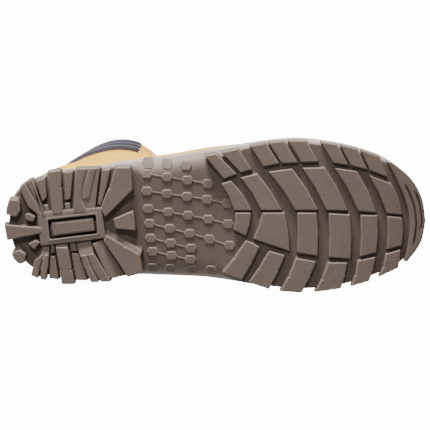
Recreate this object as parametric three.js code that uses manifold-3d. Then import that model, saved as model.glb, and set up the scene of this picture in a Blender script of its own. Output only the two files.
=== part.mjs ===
// Steel toe work boot, right foot, standing on its sole.
// Millimetres. +X points to the toe, +Y to the medial side, +Z up.
import * as THREE from 'three';
import { mergeVertices } from 'three/addons/utils/BufferGeometryUtils.js';
import Module from 'manifold-3d';

const wasm = await Module();
wasm.setup();

// ---------------------------------------------------------------- driving dimensions
const soleLength = 310;
const ballWidth = 113;
const bootHeight = 183;          // top of the facings above the ground
const toeSpring = 11;            // rise of the tread under the toe tip
const heelLugDepth = 9;
const foreLugDepth = 5;
const lowLugDrop = 2.5;          // how far a recessed lug stays above the ground
const waistHeight = 14;          // height of the waist's underside
const studHeight = 1.2;          // relief of the hexagons under the waist
const featherHeight = 28;        // top of the sole's rim above the tread under the ball
const heelRise = 8;              // extra height of the rim at the heel
const rimWidth = 9;              // rubber rim round the midsole
const webThickness = 3.5;        // rubber under the midsole
const leather = 2.0;
const lining = 1.2;
const capWall = 1.8;             // steel toe cap
const capLength = 54;
const counterWall = 1.4;
const boardInset = 14;           // insole board's edge from the sole's outline
const boardThickness = 2.5;
const footbedThickness = 5;
const padThickness = 9;          // collar padding, inside plus outside
const collarProud = 3;           // how far the collar stands out of the leather
const facingHalfGap = 21;        // half the gap between the two facings
const facingWidth = 26;
const facingProud = 1.2;
const tongueClearance = 2.5;     // from the facing's front edge to the tongue, seen from the front
const tongueHalfWidth = facingHalfGap - tongueClearance;
const tonguePad = 6;
const gussetWidth = 7;
const eyeletsPerSide = 7;
const eyeletEdge = 10;            // end eyelets from the ends of the facing
const eyeletInset = 8.5;         // eyelet centres from the facing's front edge
const eyeletBore = 2.4;
const eyeletBarrel = 3.1;
const eyeletFlange = 5.2;
const shankLength = 96;
const shankWidth = 15;
const shankThickness = 1.6;
const shankDepth = 2.2;            // middle of the shank below the midsole's top
const gap = 0.3;                 // clearance between touching pieces
const layerGap = 0.8;            // adhesive and slack between hidden layers

// The tables below are drawn for this size, and follow the driving sizes by these ratios.
const drawn = { length: 310, width: 113, height: 183, throat: 114 };
const kx = soleLength / drawn.length;
const ky = ballWidth / drawn.width;
const kz = (bootHeight - drawn.throat) / (drawn.height - drawn.throat);
const shankMiddle = -25 * kx;

// ---------------------------------------------------------------- helpers
const { lerp, clamp, smoothstep } = THREE.MathUtils;

// Smooth value of a table at a fractional row number (Catmull-Rom between rows).
function sampleRow(table, row) {
  const last = table.length - 1;
  const i = clamp(Math.floor(row), 0, last - 1);
  const t = row - i;
  const p = [i - 1, i, i + 1, i + 2].map((k) => table[clamp(k, 0, last)]);
  return p[1].map((_, c) => {
    const [a, b, d, e] = p.map((r) => r[c]);
    return 0.5 * (2 * b + (d - a) * t + (2 * a - 5 * b + 4 * d - e) * t * t + (3 * b - a - 3 * d + e) * t * t * t);
  });
}

// Row number at which the first column of a table reaches x.
function rowAt(table, x) {
  const rising = table[0][0] < table[table.length - 1][0];
  let low = 0;
  let high = table.length - 1;
  for (let k = 0; k < 40; k++) {
    const mid = (low + high) / 2;
    if (sampleRow(table, mid)[0] < x === rising) low = mid;
    else high = mid;
  }
  return (low + high) / 2;
}

// Closed geometry from points and triangles: shared points merged, empty triangles dropped,
// faces turned outwards.
function closedGeometry(points, triangles) {
  const soup = new THREE.BufferGeometry();
  soup.setAttribute('position', new THREE.Float32BufferAttribute(points.flat(), 3));
  soup.setIndex(triangles.flat());
  const welded = mergeVertices(soup, 1e-3);
  const index = welded.index.array;
  const pos = welded.attributes.position;
  const kept = [];
  let volume = 0;
  const [a, b, c] = [new THREE.Vector3(), new THREE.Vector3(), new THREE.Vector3()];
  for (let k = 0; k < index.length; k += 3) {
    const [i, j, l] = [index[k], index[k + 1], index[k + 2]];
    if (i === j || j === l || l === i) continue;
    kept.push([i, j, l]);
    a.fromBufferAttribute(pos, i);
    b.fromBufferAttribute(pos, j);
    c.fromBufferAttribute(pos, l);
    volume += a.dot(b.cross(c));
  }
  welded.setIndex((volume > 0 ? kept : kept.map(([i, j, l]) => [i, l, j])).flat());
  return welded;
}

// Solid between two grids of points, each a function of (i, j), with walls round the edge.
function gridSolid(ni, nj, outer, inner) {
  const points = [];
  const triangles = [];
  const at = (layer, i, j) => layer * (ni + 1) * (nj + 1) + i * (nj + 1) + j;
  for (const side of [outer, inner]) {
    for (let i = 0; i <= ni; i++) {
      for (let j = 0; j <= nj; j++) points.push(side(i, j));
    }
  }
  const quad = (p, q, r, s) => triangles.push([p, q, r], [p, r, s]);
  for (let i = 0; i < ni; i++) {
    for (let j = 0; j < nj; j++) {
      quad(at(0, i, j), at(0, i + 1, j), at(0, i + 1, j + 1), at(0, i, j + 1));
      quad(at(1, i, j + 1), at(1, i + 1, j + 1), at(1, i + 1, j), at(1, i, j));
    }
  }
  for (let i = 0; i < ni; i++) {
    quad(at(0, i + 1, 0), at(0, i, 0), at(1, i, 0), at(1, i + 1, 0));
    quad(at(0, i, nj), at(0, i + 1, nj), at(1, i + 1, nj), at(1, i, nj));
  }
  for (let j = 0; j < nj; j++) {
    quad(at(0, 0, j), at(0, 0, j + 1), at(1, 0, j + 1), at(1, 0, j));
    quad(at(0, ni, j + 1), at(0, ni, j), at(1, ni, j), at(1, ni, j + 1));
  }
  return closedGeometry(points, triangles);
}

function toSolid(geometry) {
  const plain = geometry.clone();
  plain.deleteAttribute('normal');
  plain.deleteAttribute('uv');
  const merged = mergeVertices(plain, 1e-4);
  const mesh = new wasm.Mesh({
    numProp: 3,
    vertProperties: new Float32Array(merged.attributes.position.array),
    triVerts: new Uint32Array(merged.index.array),
  });
  return new wasm.Manifold(mesh);
}

function toGeometry(solid) {
  const { vertProperties, triVerts } = solid.getMesh();
  const geometry = new THREE.BufferGeometry();
  geometry.setAttribute('position', new THREE.BufferAttribute(vertProperties, 3));
  geometry.setIndex(new THREE.BufferAttribute(triVerts, 1));
  return geometry;
}

// ---------------------------------------------------------------- the sole's plan and levels
// x, lateral edge y, medial edge y, from the heel's back to the toe's tip
const soleTable = [
  [-155, 6.5, 6.5], [-151, -13, 25], [-143, -23, 36], [-133, -29, 43.5], [-120, -33, 48],
  [-104, -35.5, 49.5], [-84, -37, 48.5], [-62, -39.3, 47.8], [-35, -42.5, 48.3], [-8, -47, 49.3],
  [14, -51, 51.5], [36, -54.6, 54.2], [60, -56.5, 56.5], [84, -54, 55], [104, -49.5, 51],
  [122, -43, 45], [136, -34, 38.5], [146, -24, 29.5], [152.5, -11, 18.5], [155, 4.5, 4.5],
].map(([x, lateral, medial]) => [x * kx, lateral * ky, medial * ky]);
const soleRows = soleTable.length - 1;

// Point of the sole's outline at a row number; side is -1 lateral or +1 medial.
function outlinePoint(row, side) {
  const mirrored = row < 0 || row > soleRows;
  const r = row < 0 ? -row : row > soleRows ? 2 * soleRows - row : row;
  const [x, lateral, medial] = sampleRow(soleTable, r);
  return [x, (side < 0) !== mirrored ? lateral : medial];
}

// The same point moved inwards by inset, square to the outline.
function insetPoint(row, side, inset) {
  const step = 0.05;
  const [x0, y0] = outlinePoint(row - step, side);
  const [x1, y1] = outlinePoint(row + step, side);
  const [x, y] = outlinePoint(row, side);
  const length = Math.hypot(x1 - x0, y1 - y0) || 1;
  return [x + side * inset * (y1 - y0) / length, y - side * inset * (x1 - x0) / length];
}

const lift = (x) => toeSpring * Math.max(0, (x - 60 * kx) / (95 * kx)) ** 2;
const waistBlend = (x) => smoothstep(x, -66 * kx, -56 * kx) * (1 - smoothstep(x, -14 * kx, 14 * kx));
function floorZ(x) {
  const lugDepth = x < -35 * kx ? heelLugDepth : foreLugDepth;
  return lerp(lugDepth, waistHeight, waistBlend(x)) + lift(x);
}
const featherZ = (x) => featherHeight + lift(x) + heelRise * (1 - smoothstep(x, -110 * kx, 20 * kx));

// Solid stacked from rings that follow the sole's outline. Each ring has an inset and a height
// over x; the lowest and the highest ring are closed by a surface.
function soleSolid(rings, rowStart = 0, rowEnd = soleRows) {
  const rows = [];
  const perRow = 2;
  const count = Math.round((rowEnd - rowStart) * perRow);
  for (let k = 0; k <= count; k++) rows.push(rowStart + (rowEnd - rowStart) * k / count);
  const points = [];
  const triangles = [];
  const quad = (p, q, r, s) => triangles.push([p, q, r], [p, r, s]);
  for (const ring of rings) {
    for (const row of rows) {
      const l = insetPoint(row, -1, ring.inset);
      const m = insetPoint(row, 1, ring.inset);
      for (const [x, y] of [l, m]) points.push([x, y, ring.z(x)]);
    }
  }
  const at = (ring, k, side) => ring * rows.length * 2 + 2 * k + side;
  for (let k = 0; k < count; k++) {
    const top = rings.length - 1;
    quad(at(0, k, 0), at(0, k, 1), at(0, k + 1, 1), at(0, k + 1, 0));
    quad(at(top, k, 0), at(top, k + 1, 0), at(top, k + 1, 1), at(top, k, 1));
    for (let r = 0; r < top; r++) {
      quad(at(r, k, 0), at(r, k + 1, 0), at(r + 1, k + 1, 0), at(r + 1, k, 0));
      quad(at(r, k + 1, 1), at(r, k, 1), at(r + 1, k, 1), at(r + 1, k + 1, 1));
    }
  }
  for (let r = 0; r < rings.length - 1; r++) {
    quad(at(r, 0, 1), at(r, 0, 0), at(r + 1, 0, 0), at(r + 1, 0, 1));
    quad(at(r, count, 0), at(r, count, 1), at(r + 1, count, 1), at(r + 1, count, 0));
  }
  return closedGeometry(points, triangles);
}

// ---------------------------------------------------------------- tread
// Upright prism over a plan outline, from a level over x up into the base.
function prism(drawnOutline, bottomZ, topZ) {
  const clockwise = THREE.ShapeUtils.isClockWise(drawnOutline.map(([x, y]) => ({ x, y })));
  const outline = clockwise ? [...drawnOutline].reverse() : drawnOutline;
  const points = outline.map(([x, y]) => [x, y, bottomZ(x)]).concat(outline.map(([x, y]) => [x, y, topZ(x)]));
  const n = outline.length;
  const faces = THREE.ShapeUtils.triangulateShape(outline.map(([x, y]) => new THREE.Vector2(x, y)), []);
  const triangles = faces.map(([a, b, c]) => [c, b, a]).concat(faces.map(([a, b, c]) => [a + n, b + n, c + n]));
  for (let i = 0; i < n; i++) {
    const j = (i + 1) % n;
    triangles.push([i, j, j + n], [i, j + n, i + n]);
  }
  return closedGeometry(points, triangles);
}

const scaled = (outline) => outline.map(([x, y]) => [x * kx, y * ky]);
const intoBase = (x) => floorZ(x) + 1.5;

// Heel lugs of full height: two fans, the rear blocks, the wedge and the centre plate.
const heelLugs = [
  [[-143.5, -21.5], [-134, -27.5], [-130, -14], [-124, 0], [-128.5, 0.5], [-137, -7.5]],
  [[-123, -32.5], [-113.5, -34], [-112.5, -18], [-111.5, -3], [-119.5, -1.5], [-121.5, -20]],
  [[-101.5, -35], [-87, -35.5], [-92.5, -12], [-93, -3], [-104.5, -3], [-103, -22]],
  [[-73, -36], [-62.5, -36], [-61, -20], [-81, 0], [-84.5, -6], [-76.5, -25]],
  [[-127, 19], [-122, 19], [-122.5, 33], [-125.5, 47], [-135.5, 43], [-131.5, 28]],
  [[-118, 18], [-109, 18], [-108, 30], [-104, 49.5], [-113.5, 49.5], [-116.5, 30]],
  [[-103, 18], [-93, 15], [-88, 30], [-77.5, 47.5], [-92, 48], [-100, 30]],
  [[-81, 9.5], [-54.5, 25], [-54, 41.5], [-65, 44], [-72, 33.5], [-83.5, 15]],
  [[-150.5, -13], [-144.5, -12.5], [-143, -5], [-146, 0], [-153.5, -2], [-153, -7]],
  [[-154, 6.5], [-127, 9.5], [-127, 12.5], [-144.5, 15], [-153, 17]],
  [[-149.5, 25.5], [-144.5, 22.5], [-139.5, 26], [-141, 34], [-144.5, 34.5]],
  [[-139.5, -1.5], [-137.5, -3], [-132, -0.5], [-133.5, 3.5], [-139, 2]],
  [[-137.5, 20], [-132, 17], [-129, 19], [-133.5, 24]],
  [[-75, 1.5], [-59.5, -5], [-58, 10.5], [-73.5, 8.5]],
  [[-126, 2], [-88.5, -2.5], [-83, -0.5], [-82.5, 14.5], [-87, 16], [-125.5, 17.5]],
];
// Heel lugs that stay clear of the ground.
const lowHeelLugs = [
  [[-131.5, -26], [-125, -28.5], [-124, -14], [-127, -11]],
  [[-110.5, -32.5], [-104.5, -33.5], [-106.5, -13], [-110.5, -12]],
  [[-121.5, 29], [-118.5, 29], [-116, 47], [-123, 46]],
  [[-106, 26.5], [-101.5, 26.5], [-94.5, 47.5], [-103, 47.5]],
];
const insertPocket = [[-123, 3], [-88.5, -0.5], [-87, 12], [-122, 15.5]];
const insertOutline = [[-120.5, 4.5], [-90.5, 1.5], [-89, 10.5], [-119.5, 13.5]];

// Forefoot rows. Each lug is a slanted block: its two places along X on the row's outer line
// and its two places on the row's inner line. A line is y over x.
const foreRows = [
  {
    outer: [[-8, -43], [14, -47.5], [36, -52.5], [60, -54.5], [84, -52], [104, -47.5], [122, -41]],
    inner: [[5, -29], [26, -36], [50, -40.5], [74, -41.5], [96, -38], [112, -34.5], [128, -29]],
    lugs: [[-8, 0, 6, 15], [4, 16, 18, 26], [25, 35, 34.5, 45], [39.5, 49, 48, 59],
      [53.5, 65, 63, 74], [76.5, 87, 85.5, 96], [92, 102.5, 99.5, 110], [107, 119, 113.5, 125.5]],
  },
  {
    outer: [[5, -24], [30, -32], [55, -35.5], [79, -35.5], [103, -31], [128, -24]],
    inner: [[13, -6], [96, -6], [116, -3.5], [137, -1]],
    lugs: [[5, 10, 13, 25], [18, 30, 32.5, 48], [39, 55, 56, 71.5], [65, 79, 80.5, 96],
      [89, 103, 104.5, 116.5], [114, 127.5, 125, 136.5]],
  },
  {
    outer: [[14, -2], [74, -2], [98, 0], [118, 2], [137, 4.5]],
    inner: [[12, 9], [28, 16.5], [53, 25], [74, 29], [100, 29.5], [118, 27.5], [137, 22]],
    lugs: [[14, 25.5, 13, 22], [34, 50, 30, 53], [59.5, 73.5, 59.5, 74.5], [82.5, 98, 83, 99],
      [106, 118.5, 106, 118], [126, 137, 126, 137]],
  },
  {
    outer: [[22, 19.5], [50, 30.5], [74, 35], [97, 35.5], [118, 32], [136, 27.5]],
    inner: [[4, 40], [20, 46], [39, 52.5], [63, 55.5], [92, 52], [113, 47], [135, 38]],
    lugs: [[22, 32, 5, 19], [39, 50.5, 24, 39], [59, 73.5, 47.5, 63], [82.5, 96.5, 73, 92],
      [104.5, 117.5, 100, 113], [125.5, 136, 120.5, 134.5]],
  },
];
// Crescent at the toe: its inner edge; its outer edge follows the sole's outline.
const toeInner = [[126, -36.5], [132, -27], [141, -4], [143, 8], [142.5, 18], [139.5, 29]];
const toeEdgeInset = 2;

// Hexagons under the waist: first and last place of each row, and how many.
const studRows = [
  { from: [-51, -30], to: [-6, -23], count: 4 },
  { from: [-51, -18], to: [-5, -12], count: 4 },
  { from: [-50, -4], to: [9, 6], count: 5 },
  { from: [-49, 7], to: [10, 22], count: 5 },
  { from: [-48.5, 18], to: [-18.5, 25.5], count: 3 },
  { from: [-47, 28], to: [-19, 34], count: 3 },
];
const studHalf = [4.2, 3.2];

function lineY(line, x) {
  return sampleRow(line, rowAt(line, x))[1];
}

function rowLug(row, [outer0, outer1, inner0, inner1]) {
  const on = (line, x) => [x, lineY(line, x)];
  return [on(row.outer, outer0), on(row.outer, outer1), on(row.inner, inner1), on(row.inner, inner0)];
}

function toeCrescent() {
  const outer = [];
  const start = rowAt(soleTable, 125 * kx);
  const end = rowAt(soleTable, 140 * kx);
  const steps = 5;
  for (let k = 0; k <= steps; k++) outer.push(insetPoint(lerp(start, soleRows, k / steps), -1, toeEdgeInset));
  for (let k = 1; k <= steps; k++) outer.push(insetPoint(lerp(soleRows, end, k / steps), 1, toeEdgeInset));
  return scaled(toeInner).concat(outer.reverse());
}

function hexagon([cx, cy]) {
  const [hx, hy] = studHalf;
  return [[cx - hx, cy], [cx - hx / 2, cy - hy], [cx + hx / 2, cy - hy],
    [cx + hx, cy], [cx + hx / 2, cy + hy], [cx - hx / 2, cy + hy]];
}

function makeOutsole() {
  const envelope = toSolid(soleSolid([
    { inset: 2.5, z: floorZ },
    { inset: 1, z: (x) => floorZ(x) + 3 },
    { inset: 0, z: (x) => featherZ(x) - 6 },
    { inset: 0.8, z: featherZ },
  ]));
  const cavity = toSolid(soleSolid([
    { inset: rimWidth, z: (x) => floorZ(x) + webThickness },
    { inset: rimWidth, z: (x) => featherZ(x) + 5 },
  ]));
  const lugs = [];
  for (const outline of heelLugs) lugs.push(prism(scaled(outline), lift, intoBase));
  for (const outline of lowHeelLugs) lugs.push(prism(scaled(outline), () => lowLugDrop, intoBase));
  for (const row of foreRows) {
    for (const lug of row.lugs) lugs.push(prism(scaled(rowLug(row, lug)), lift, intoBase));
  }
  lugs.push(prism(toeCrescent(), lift, intoBase));
  for (const { from, to, count } of studRows) {
    for (let k = 0; k < count; k++) {
      const t = k / (count - 1);
      const centre = [lerp(from[0], to[0], t), lerp(from[1], to[1], t)];
      lugs.push(prism(scaled(hexagon(centre)), (x) => floorZ(x) - studHeight, intoBase));
    }
  }
  let solid = envelope.subtract(cavity);
  for (const lug of lugs) solid = solid.add(toSolid(lug));
  const pocketDepth = heelLugDepth - 3;
  const pocket = toSolid(prism(scaled(insertPocket), () => -5, () => pocketDepth));
  return toGeometry(solid.subtract(pocket));
}

function makeHeelInsert() {
  const seat = heelLugDepth - 3 - gap;
  return prism(scaled(insertOutline), () => 0.8, () => seat);
}

// Plate that follows the slope of the midsole's top from the heel to the arch, a little below it.
function shankBox(grow, openAbove) {
  const [rear, front] = [shankMiddle - shankLength / 2, shankMiddle + shankLength / 2];
  const height = shankThickness + 2 * grow + openAbove;
  const box = new THREE.BoxGeometry(shankLength + 2 * grow, shankWidth + 2 * grow, height);
  box.translate(0, 0, openAbove / 2);
  box.rotateY(-Math.atan2(featherZ(front) - featherZ(rear), shankLength));
  return box.translate(shankMiddle, 3 * ky, (featherZ(rear) + featherZ(front)) / 2 - shankDepth);
}

function makeMidsole() {
  const body = toSolid(soleSolid([
    { inset: rimWidth + 1.5 * gap, z: (x) => floorZ(x) + webThickness + 2 * gap },
    { inset: rimWidth + 1.5 * gap, z: featherZ },
  ]));
  return toGeometry(body.subtract(toSolid(shankBox(gap, 2 * shankDepth))));
}

// Flat layer inside the upper, resting on the level below it.
function insoleLayer(inset, above, thickness) {
  return soleSolid([
    { inset, z: (x) => featherZ(x) + above },
    { inset, z: (x) => featherZ(x) + above + thickness },
  ]);
}

// ---------------------------------------------------------------- the upper's form
// Sections fan round the instep, from the toe's tip to the top of the shaft. Each row: the
// ridge point (x, z), the bottom or back point (x, z), and the widest lateral and medial y.
const upperTable = [
  [151, 43, 151, 43, 4.5, 4.5], [149.6, 57, 149.6, 25, -8, 16], [144.5, 68.5, 144.5, 22, -20, 26],
  [135, 77, 135, 20, -30, 35.5], [120, 83, 120, 17, -39.5, 42.5], [98, 87, 98, 15, -47, 49],
  [70, 92, 70, 12, -52.5, 53], [44, 101, 44, 12, -52.3, 53], [20, 113, 20, 12, -48.5, 53],
  [4, 124.5, -20, 12, -44.5, 51.5], [-7, 134.5, -70, 12, -38.5, 49], [-16, 144.5, -120, 10, -35, 47.5],
  [-24, 154, -149.5, 22, -33, 46], [-30, 162, -150.5, 58, -32, 44.5], [-34, 168.5, -146.5, 88, -31, 43],
  [-37, 174, -139.5, 118, -32.5, 43.5], [-39, 178.8, -131.5, 146, -35, 46], [-40, 183, -124.5, 170, -37, 48.5],
].map(([xt, zt, xb, zb, lateral, medial]) => {
  const up = (z) => (z > drawn.throat ? drawn.throat + (z - drawn.throat) * kz : z);
  return [xt * kx, up(zt), xb * kx, up(zb), lateral * ky, medial * ky];
});
const topRow = upperTable.length - 1;
const throatRow = 8;
const collarRow = 15.1;
const ridgeY = 4.5 * ky;

// Point of the upper's outer surface: u is the section's row, theta runs from 0 on the ridge to
// PI at the bottom or back, negative on the lateral side and past PI round the back.
function upperPoint(u, theta) {
  const [xt, zt, xb, zb, lateral, medial] = sampleRow(upperTable, clamp(u, 0, topRow));
  const turned = theta - 2 * Math.PI * Math.round(theta / (2 * Math.PI));
  const angle = Math.abs(turned);
  const shaft = smoothstep(u, throatRow, 15);
  const widest = lerp(0.66, 0.45, shaft);
  const power = 2 / lerp(2.25, 2.05, shaft);
  const lowPower = 2 / lerp(3.2, 1.8, shaft);
  const c = Math.cos(angle);
  const h = c > 0 ? widest * (1 - c ** power) : widest + (1 - widest) * (-c) ** lowPower;
  const spread = Math.abs(Math.sin(angle)) ** (c > 0 ? power : lowPower);
  const middle = lerp(ridgeY, (lateral + medial) / 2, h);
  const y = turned < 0 ? middle - spread * (middle - lateral) : middle + spread * (medial - middle);
  return new THREE.Vector3(lerp(xt, xb, h), y, lerp(zt, zb, h));
}

// The same point moved along the outward normal by depth.
function offsetPoint(u, theta, depth) {
  const du = 0.02;
  const dt = 0.02;
  const point = upperPoint(u, theta);
  const alongU = upperPoint(Math.min(u + du, topRow), theta).sub(upperPoint(Math.max(u - du, 0), theta));
  const alongT = upperPoint(u, theta + dt).sub(upperPoint(u, theta - dt));
  const normal = alongT.cross(alongU);
  if (normal.length() < 1e-9) normal.set(1, 0, 0);
  return point.addScaledVector(normal.normalize(), depth);
}

// Angle on one side at which a test on the point first holds, between two angles.
function angleWhere(u, side, depth, from, to, test) {
  let low = from;
  let high = to;
  if (!test(offsetPoint(u, side * high, depth))) return side * high;
  for (let k = 0; k < 30; k++) {
    const mid = (low + high) / 2;
    if (test(offsetPoint(u, side * mid, depth))) high = mid;
    else low = mid;
  }
  return side * (low + high) / 2;
}

// Where a layer meets the sole's top, and where it reaches a distance from the ridge line.
const nearlyRound = Math.PI - 0.02;
const atSole = (side) => (u, depth) => angleWhere(u, side, depth, 0.5, nearlyRound,
  (p) => p.z < featherZ(p.x) + gap);
const atSide = (side, distance) => (u, depth) => angleWhere(u, side, depth, 0, Math.PI * 0.6,
  (p) => Math.abs(p.y - ridgeY) > distance);
// Angle a distance further round the section than another angle, measured along the surface.
const beyond = (start, side, distance) => (u) => {
  const step = 0.02;
  let theta = start(u, 0);
  let here = upperPoint(u, theta);
  for (let left = distance; left > 0;) {
    const next = upperPoint(u, theta + side * step);
    const length = next.distanceTo(here);
    theta += side * step * Math.min(1, left / length);
    left -= length;
    here = next;
  }
  return theta;
};
const roundBack = (angle) => (u, depth) => 2 * Math.PI + angle(u, depth);

// Solid patch of the upper between two sections and two angles, from one depth to another.
function patch({ u0, u1, from, to, outer, inner, nu, nt }) {
  const place = (depth) => (i, j) => {
    const u = lerp(u0, u1, i / nu);
    const d = typeof depth === 'function' ? depth(u) : depth;
    return offsetPoint(u, lerp(from(u, d), to(u, d), j / nt), d).toArray();
  };
  return gridSolid(nu, nt, place(outer), place(inner));
}

// Depths of the layers, counted inwards from the leather's face.
const leatherIn = -leather;
const capOut = leatherIn - layerGap;
const capIn = capOut - capWall;
const liningOut = capIn - layerGap;
const liningIn = liningOut - lining;

// Width of a seam's clearance in rows, at one section.
const seam = (row) => gap / upperPoint(row + 0.5, Math.PI / 2).distanceTo(upperPoint(row - 0.5, Math.PI / 2));

const capRow = rowAt(upperTable, (151 - capLength) * kx);
const facingFront = (side) => atSide(side, facingHalfGap);
const facingBack = (side) => beyond(facingFront(side), side, facingWidth);
const facingEnd = (side) => beyond(facingFront(side), side, facingWidth + gap);

function makeVamp() {
  return patch({
    u0: 0, u1: throatRow - seam(throatRow), from: atSole(-1), to: atSole(1),
    outer: 0, inner: leatherIn, nu: 16, nt: 18,
  });
}

function makeVampLining() {
  return patch({
    u0: 0.35, u1: throatRow - seam(throatRow), from: atSole(-1), to: atSole(1),
    outer: liningOut, inner: liningIn, nu: 10, nt: 14,
  });
}

function makeToeCap() {
  return patch({
    u0: 0.15, u1: capRow, from: atSole(-1), to: atSole(1),
    outer: capOut, inner: capIn, nu: 7, nt: 14,
  });
}

function makeCapStrip() {
  return patch({
    u0: capRow + 2 * seam(capRow), u1: capRow + 0.3, from: atSole(-1), to: atSole(1),
    outer: capOut, inner: capIn + 0.4, nu: 1, nt: 14,
  });
}

function quarter(side) {
  const low = atSole(side);
  const bottom = (u, d) => (Math.abs(low(u, d)) > nearlyRound - 0.01 ? side * (Math.PI - 0.004) : low(u, d));
  return patch({
    u0: throatRow + seam(throatRow), u1: collarRow, from: facingEnd(side), to: bottom,
    outer: 0, inner: leatherIn, nu: 16, nt: 10,
  });
}

function eyestay(side) {
  const body = toSolid(patch({
    u0: throatRow + seam(throatRow), u1: topRow, from: facingFront(side), to: facingBack(side),
    outer: facingProud, inner: leatherIn, nu: 10, nt: 3,
  }));
  return toGeometry(eyeletPlaces(side).reduce(
    (solid, place) => solid.subtract(toSolid(placed(barrelCut(), place))), body));
}

function makeBackstay() {
  const width = (u) => lerp(34, 15, smoothstep(u, 12, 15)) / 60;
  return patch({
    u0: 12.55, u1: collarRow, from: (u) => Math.PI - width(u), to: (u) => Math.PI + width(u),
    outer: leather * 0.75 + gap, inner: gap, nu: 8, nt: 6,
  });
}

function makeHeelCounter() {
  const reach = 0.95;
  const edge = (side) => (u, d) => side * Math.min(Math.abs(atSole(side)(u, d)), Math.PI);
  const start = (u, d) => Math.min(edge(1)(u, d), Math.PI) - reach * smoothstep(u, 11, 12);
  return patch({
    u0: 12.8, u1: 14, from: start, to: (u, d) => 2 * Math.PI - start(u, d),
    outer: capOut - gap, inner: capOut - gap - counterWall, nu: 6, nt: 12,
  });
}

function makeShaftLining() {
  const front = gussetWidth + tongueHalfWidth + 2;
  const half = (side) => toSolid(patch({
    u0: throatRow + seam(throatRow), u1: collarRow - 0.1, from: atSide(side, front),
    to: (u, d) => (Math.abs(atSole(side)(u, d)) > nearlyRound - 0.01 ? side * Math.PI : atSole(side)(u, d)),
    outer: liningOut, inner: liningIn, nu: 11, nt: 8,
  }));
  return toGeometry(half(1).add(half(-1)));
}

function makeCollar() {
  const start = facingEnd(1);
  const end = roundBack(facingEnd(-1));
  return patch({
    u0: collarRow + 2 * seam(collarRow), u1: topRow, from: start, to: end,
    outer: collarProud, inner: collarProud - padThickness, nu: 4, nt: 20,
  });
}

const tongueStart = throatRow + 0.12;
const tongueOut = leatherIn - gap;
const tongueIn = tongueOut - 1.6;

function makeTongue() {
  return patch({
    u0: tongueStart, u1: topRow, from: atSide(-1, tongueHalfWidth), to: atSide(1, tongueHalfWidth),
    outer: tongueOut, inner: tongueIn, nu: 8, nt: 6,
  });
}

function makeTonguePadding() {
  const half = tongueHalfWidth - 3;
  return patch({
    u0: tongueStart + 0.8, u1: topRow - 0.15, from: atSide(-1, half), to: atSide(1, half),
    outer: tongueIn - 2.5 * gap, inner: tongueIn - 2.5 * gap - tonguePad, nu: 7, nt: 4,
  });
}

function gusset(side) {
  const inner = tongueHalfWidth + gap;
  return patch({
    u0: tongueStart, u1: collarRow - 0.5, from: atSide(side, inner), to: atSide(side, inner + gussetWidth),
    outer: tongueOut - gap, inner: tongueOut - gap - 1, nu: 10, nt: 3,
  });
}

// ---------------------------------------------------------------- eyelets
// Rows of the eyelets, evenly spaced along the facing.
function eyeletRows(side) {
  const along = (u) => upperPoint(u, beyond(facingFront(side), side, eyeletInset)(u));
  const steps = 80;
  const travelled = [[0, throatRow]];
  for (let k = 1; k <= steps; k++) {
    const u = lerp(throatRow, topRow, k / steps);
    const before = lerp(throatRow, topRow, (k - 1) / steps);
    travelled.push([travelled[k - 1][0] + along(u).distanceTo(along(before)), u]);
  }
  const first = eyeletEdge;
  const last = travelled[steps][0] - eyeletEdge;
  return Array.from({ length: eyeletsPerSide },
    (_, k) => lineY(travelled, lerp(first, last, k / (eyeletsPerSide - 1))));
}
const eyeletSides = 8;
const eyeletThick = facingProud + leather;

function eyeletPlaces(side) {
  return eyeletRows(side).map((u) => {
    const theta = beyond(facingFront(side), side, eyeletInset)(u);
    const foot = offsetPoint(u, theta, leatherIn);
    const head = offsetPoint(u, theta, facingProud);
    return { foot, axis: head.sub(foot).normalize() };
  });
}

function placed(geometry, { foot, axis }) {
  const turn = new THREE.Quaternion().setFromUnitVectors(new THREE.Vector3(0, 1, 0), axis);
  return geometry.applyQuaternion(turn).translate(foot.x, foot.y, foot.z);
}

function barrelCut() {
  const cut = new THREE.CylinderGeometry(eyeletBarrel + gap, eyeletBarrel + gap, 6 * eyeletThick, eyeletSides);
  return cut;
}

function eyeletShape() {
  const top = eyeletThick + gap + 0.4;
  const profile = [
    [eyeletBore, -0.2], [eyeletBarrel, -0.2], [eyeletBarrel, eyeletThick + gap + 0.15],
    [eyeletFlange, top], [eyeletFlange - 0.7, top + 0.7], [eyeletBore, top + 0.5], [eyeletBore, -0.2],
  ].map(([r, z]) => new THREE.Vector2(r, z));
  return new THREE.LatheGeometry(profile, eyeletSides);
}

// ---------------------------------------------------------------- assembly
const looks = {
  rubber: ['#6e6259', 0.8, 0],
  foam: ['#c9b48a', 0.9, 0],
  board: ['#b9a58a', 0.9, 0],
  nubuck: ['#e3b877', 0.9, 0],
  textile: ['#45444f', 0.95, 0],
  steel: ['#9a9da0', 0.35, 1],
  eyelet: ['#8d8576', 0.4, 1],
};

const boot = new THREE.Group();

function put(name, geometry, look) {
  const [color, roughness, metalness] = looks[look];
  const closed = closedGeometry(
    Array.from({ length: geometry.attributes.position.count },
      (_, i) => new THREE.Vector3().fromBufferAttribute(geometry.attributes.position, i).toArray()),
    Array.from({ length: geometry.index.count / 3 },
      (_, k) => [0, 1, 2].map((c) => geometry.index.getX(3 * k + c))));
  closed.computeVertexNormals();
  const mesh = new THREE.Mesh(closed, new THREE.MeshStandardMaterial({ color, roughness, metalness }));
  mesh.name = name;
  boot.add(mesh);
}

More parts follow.
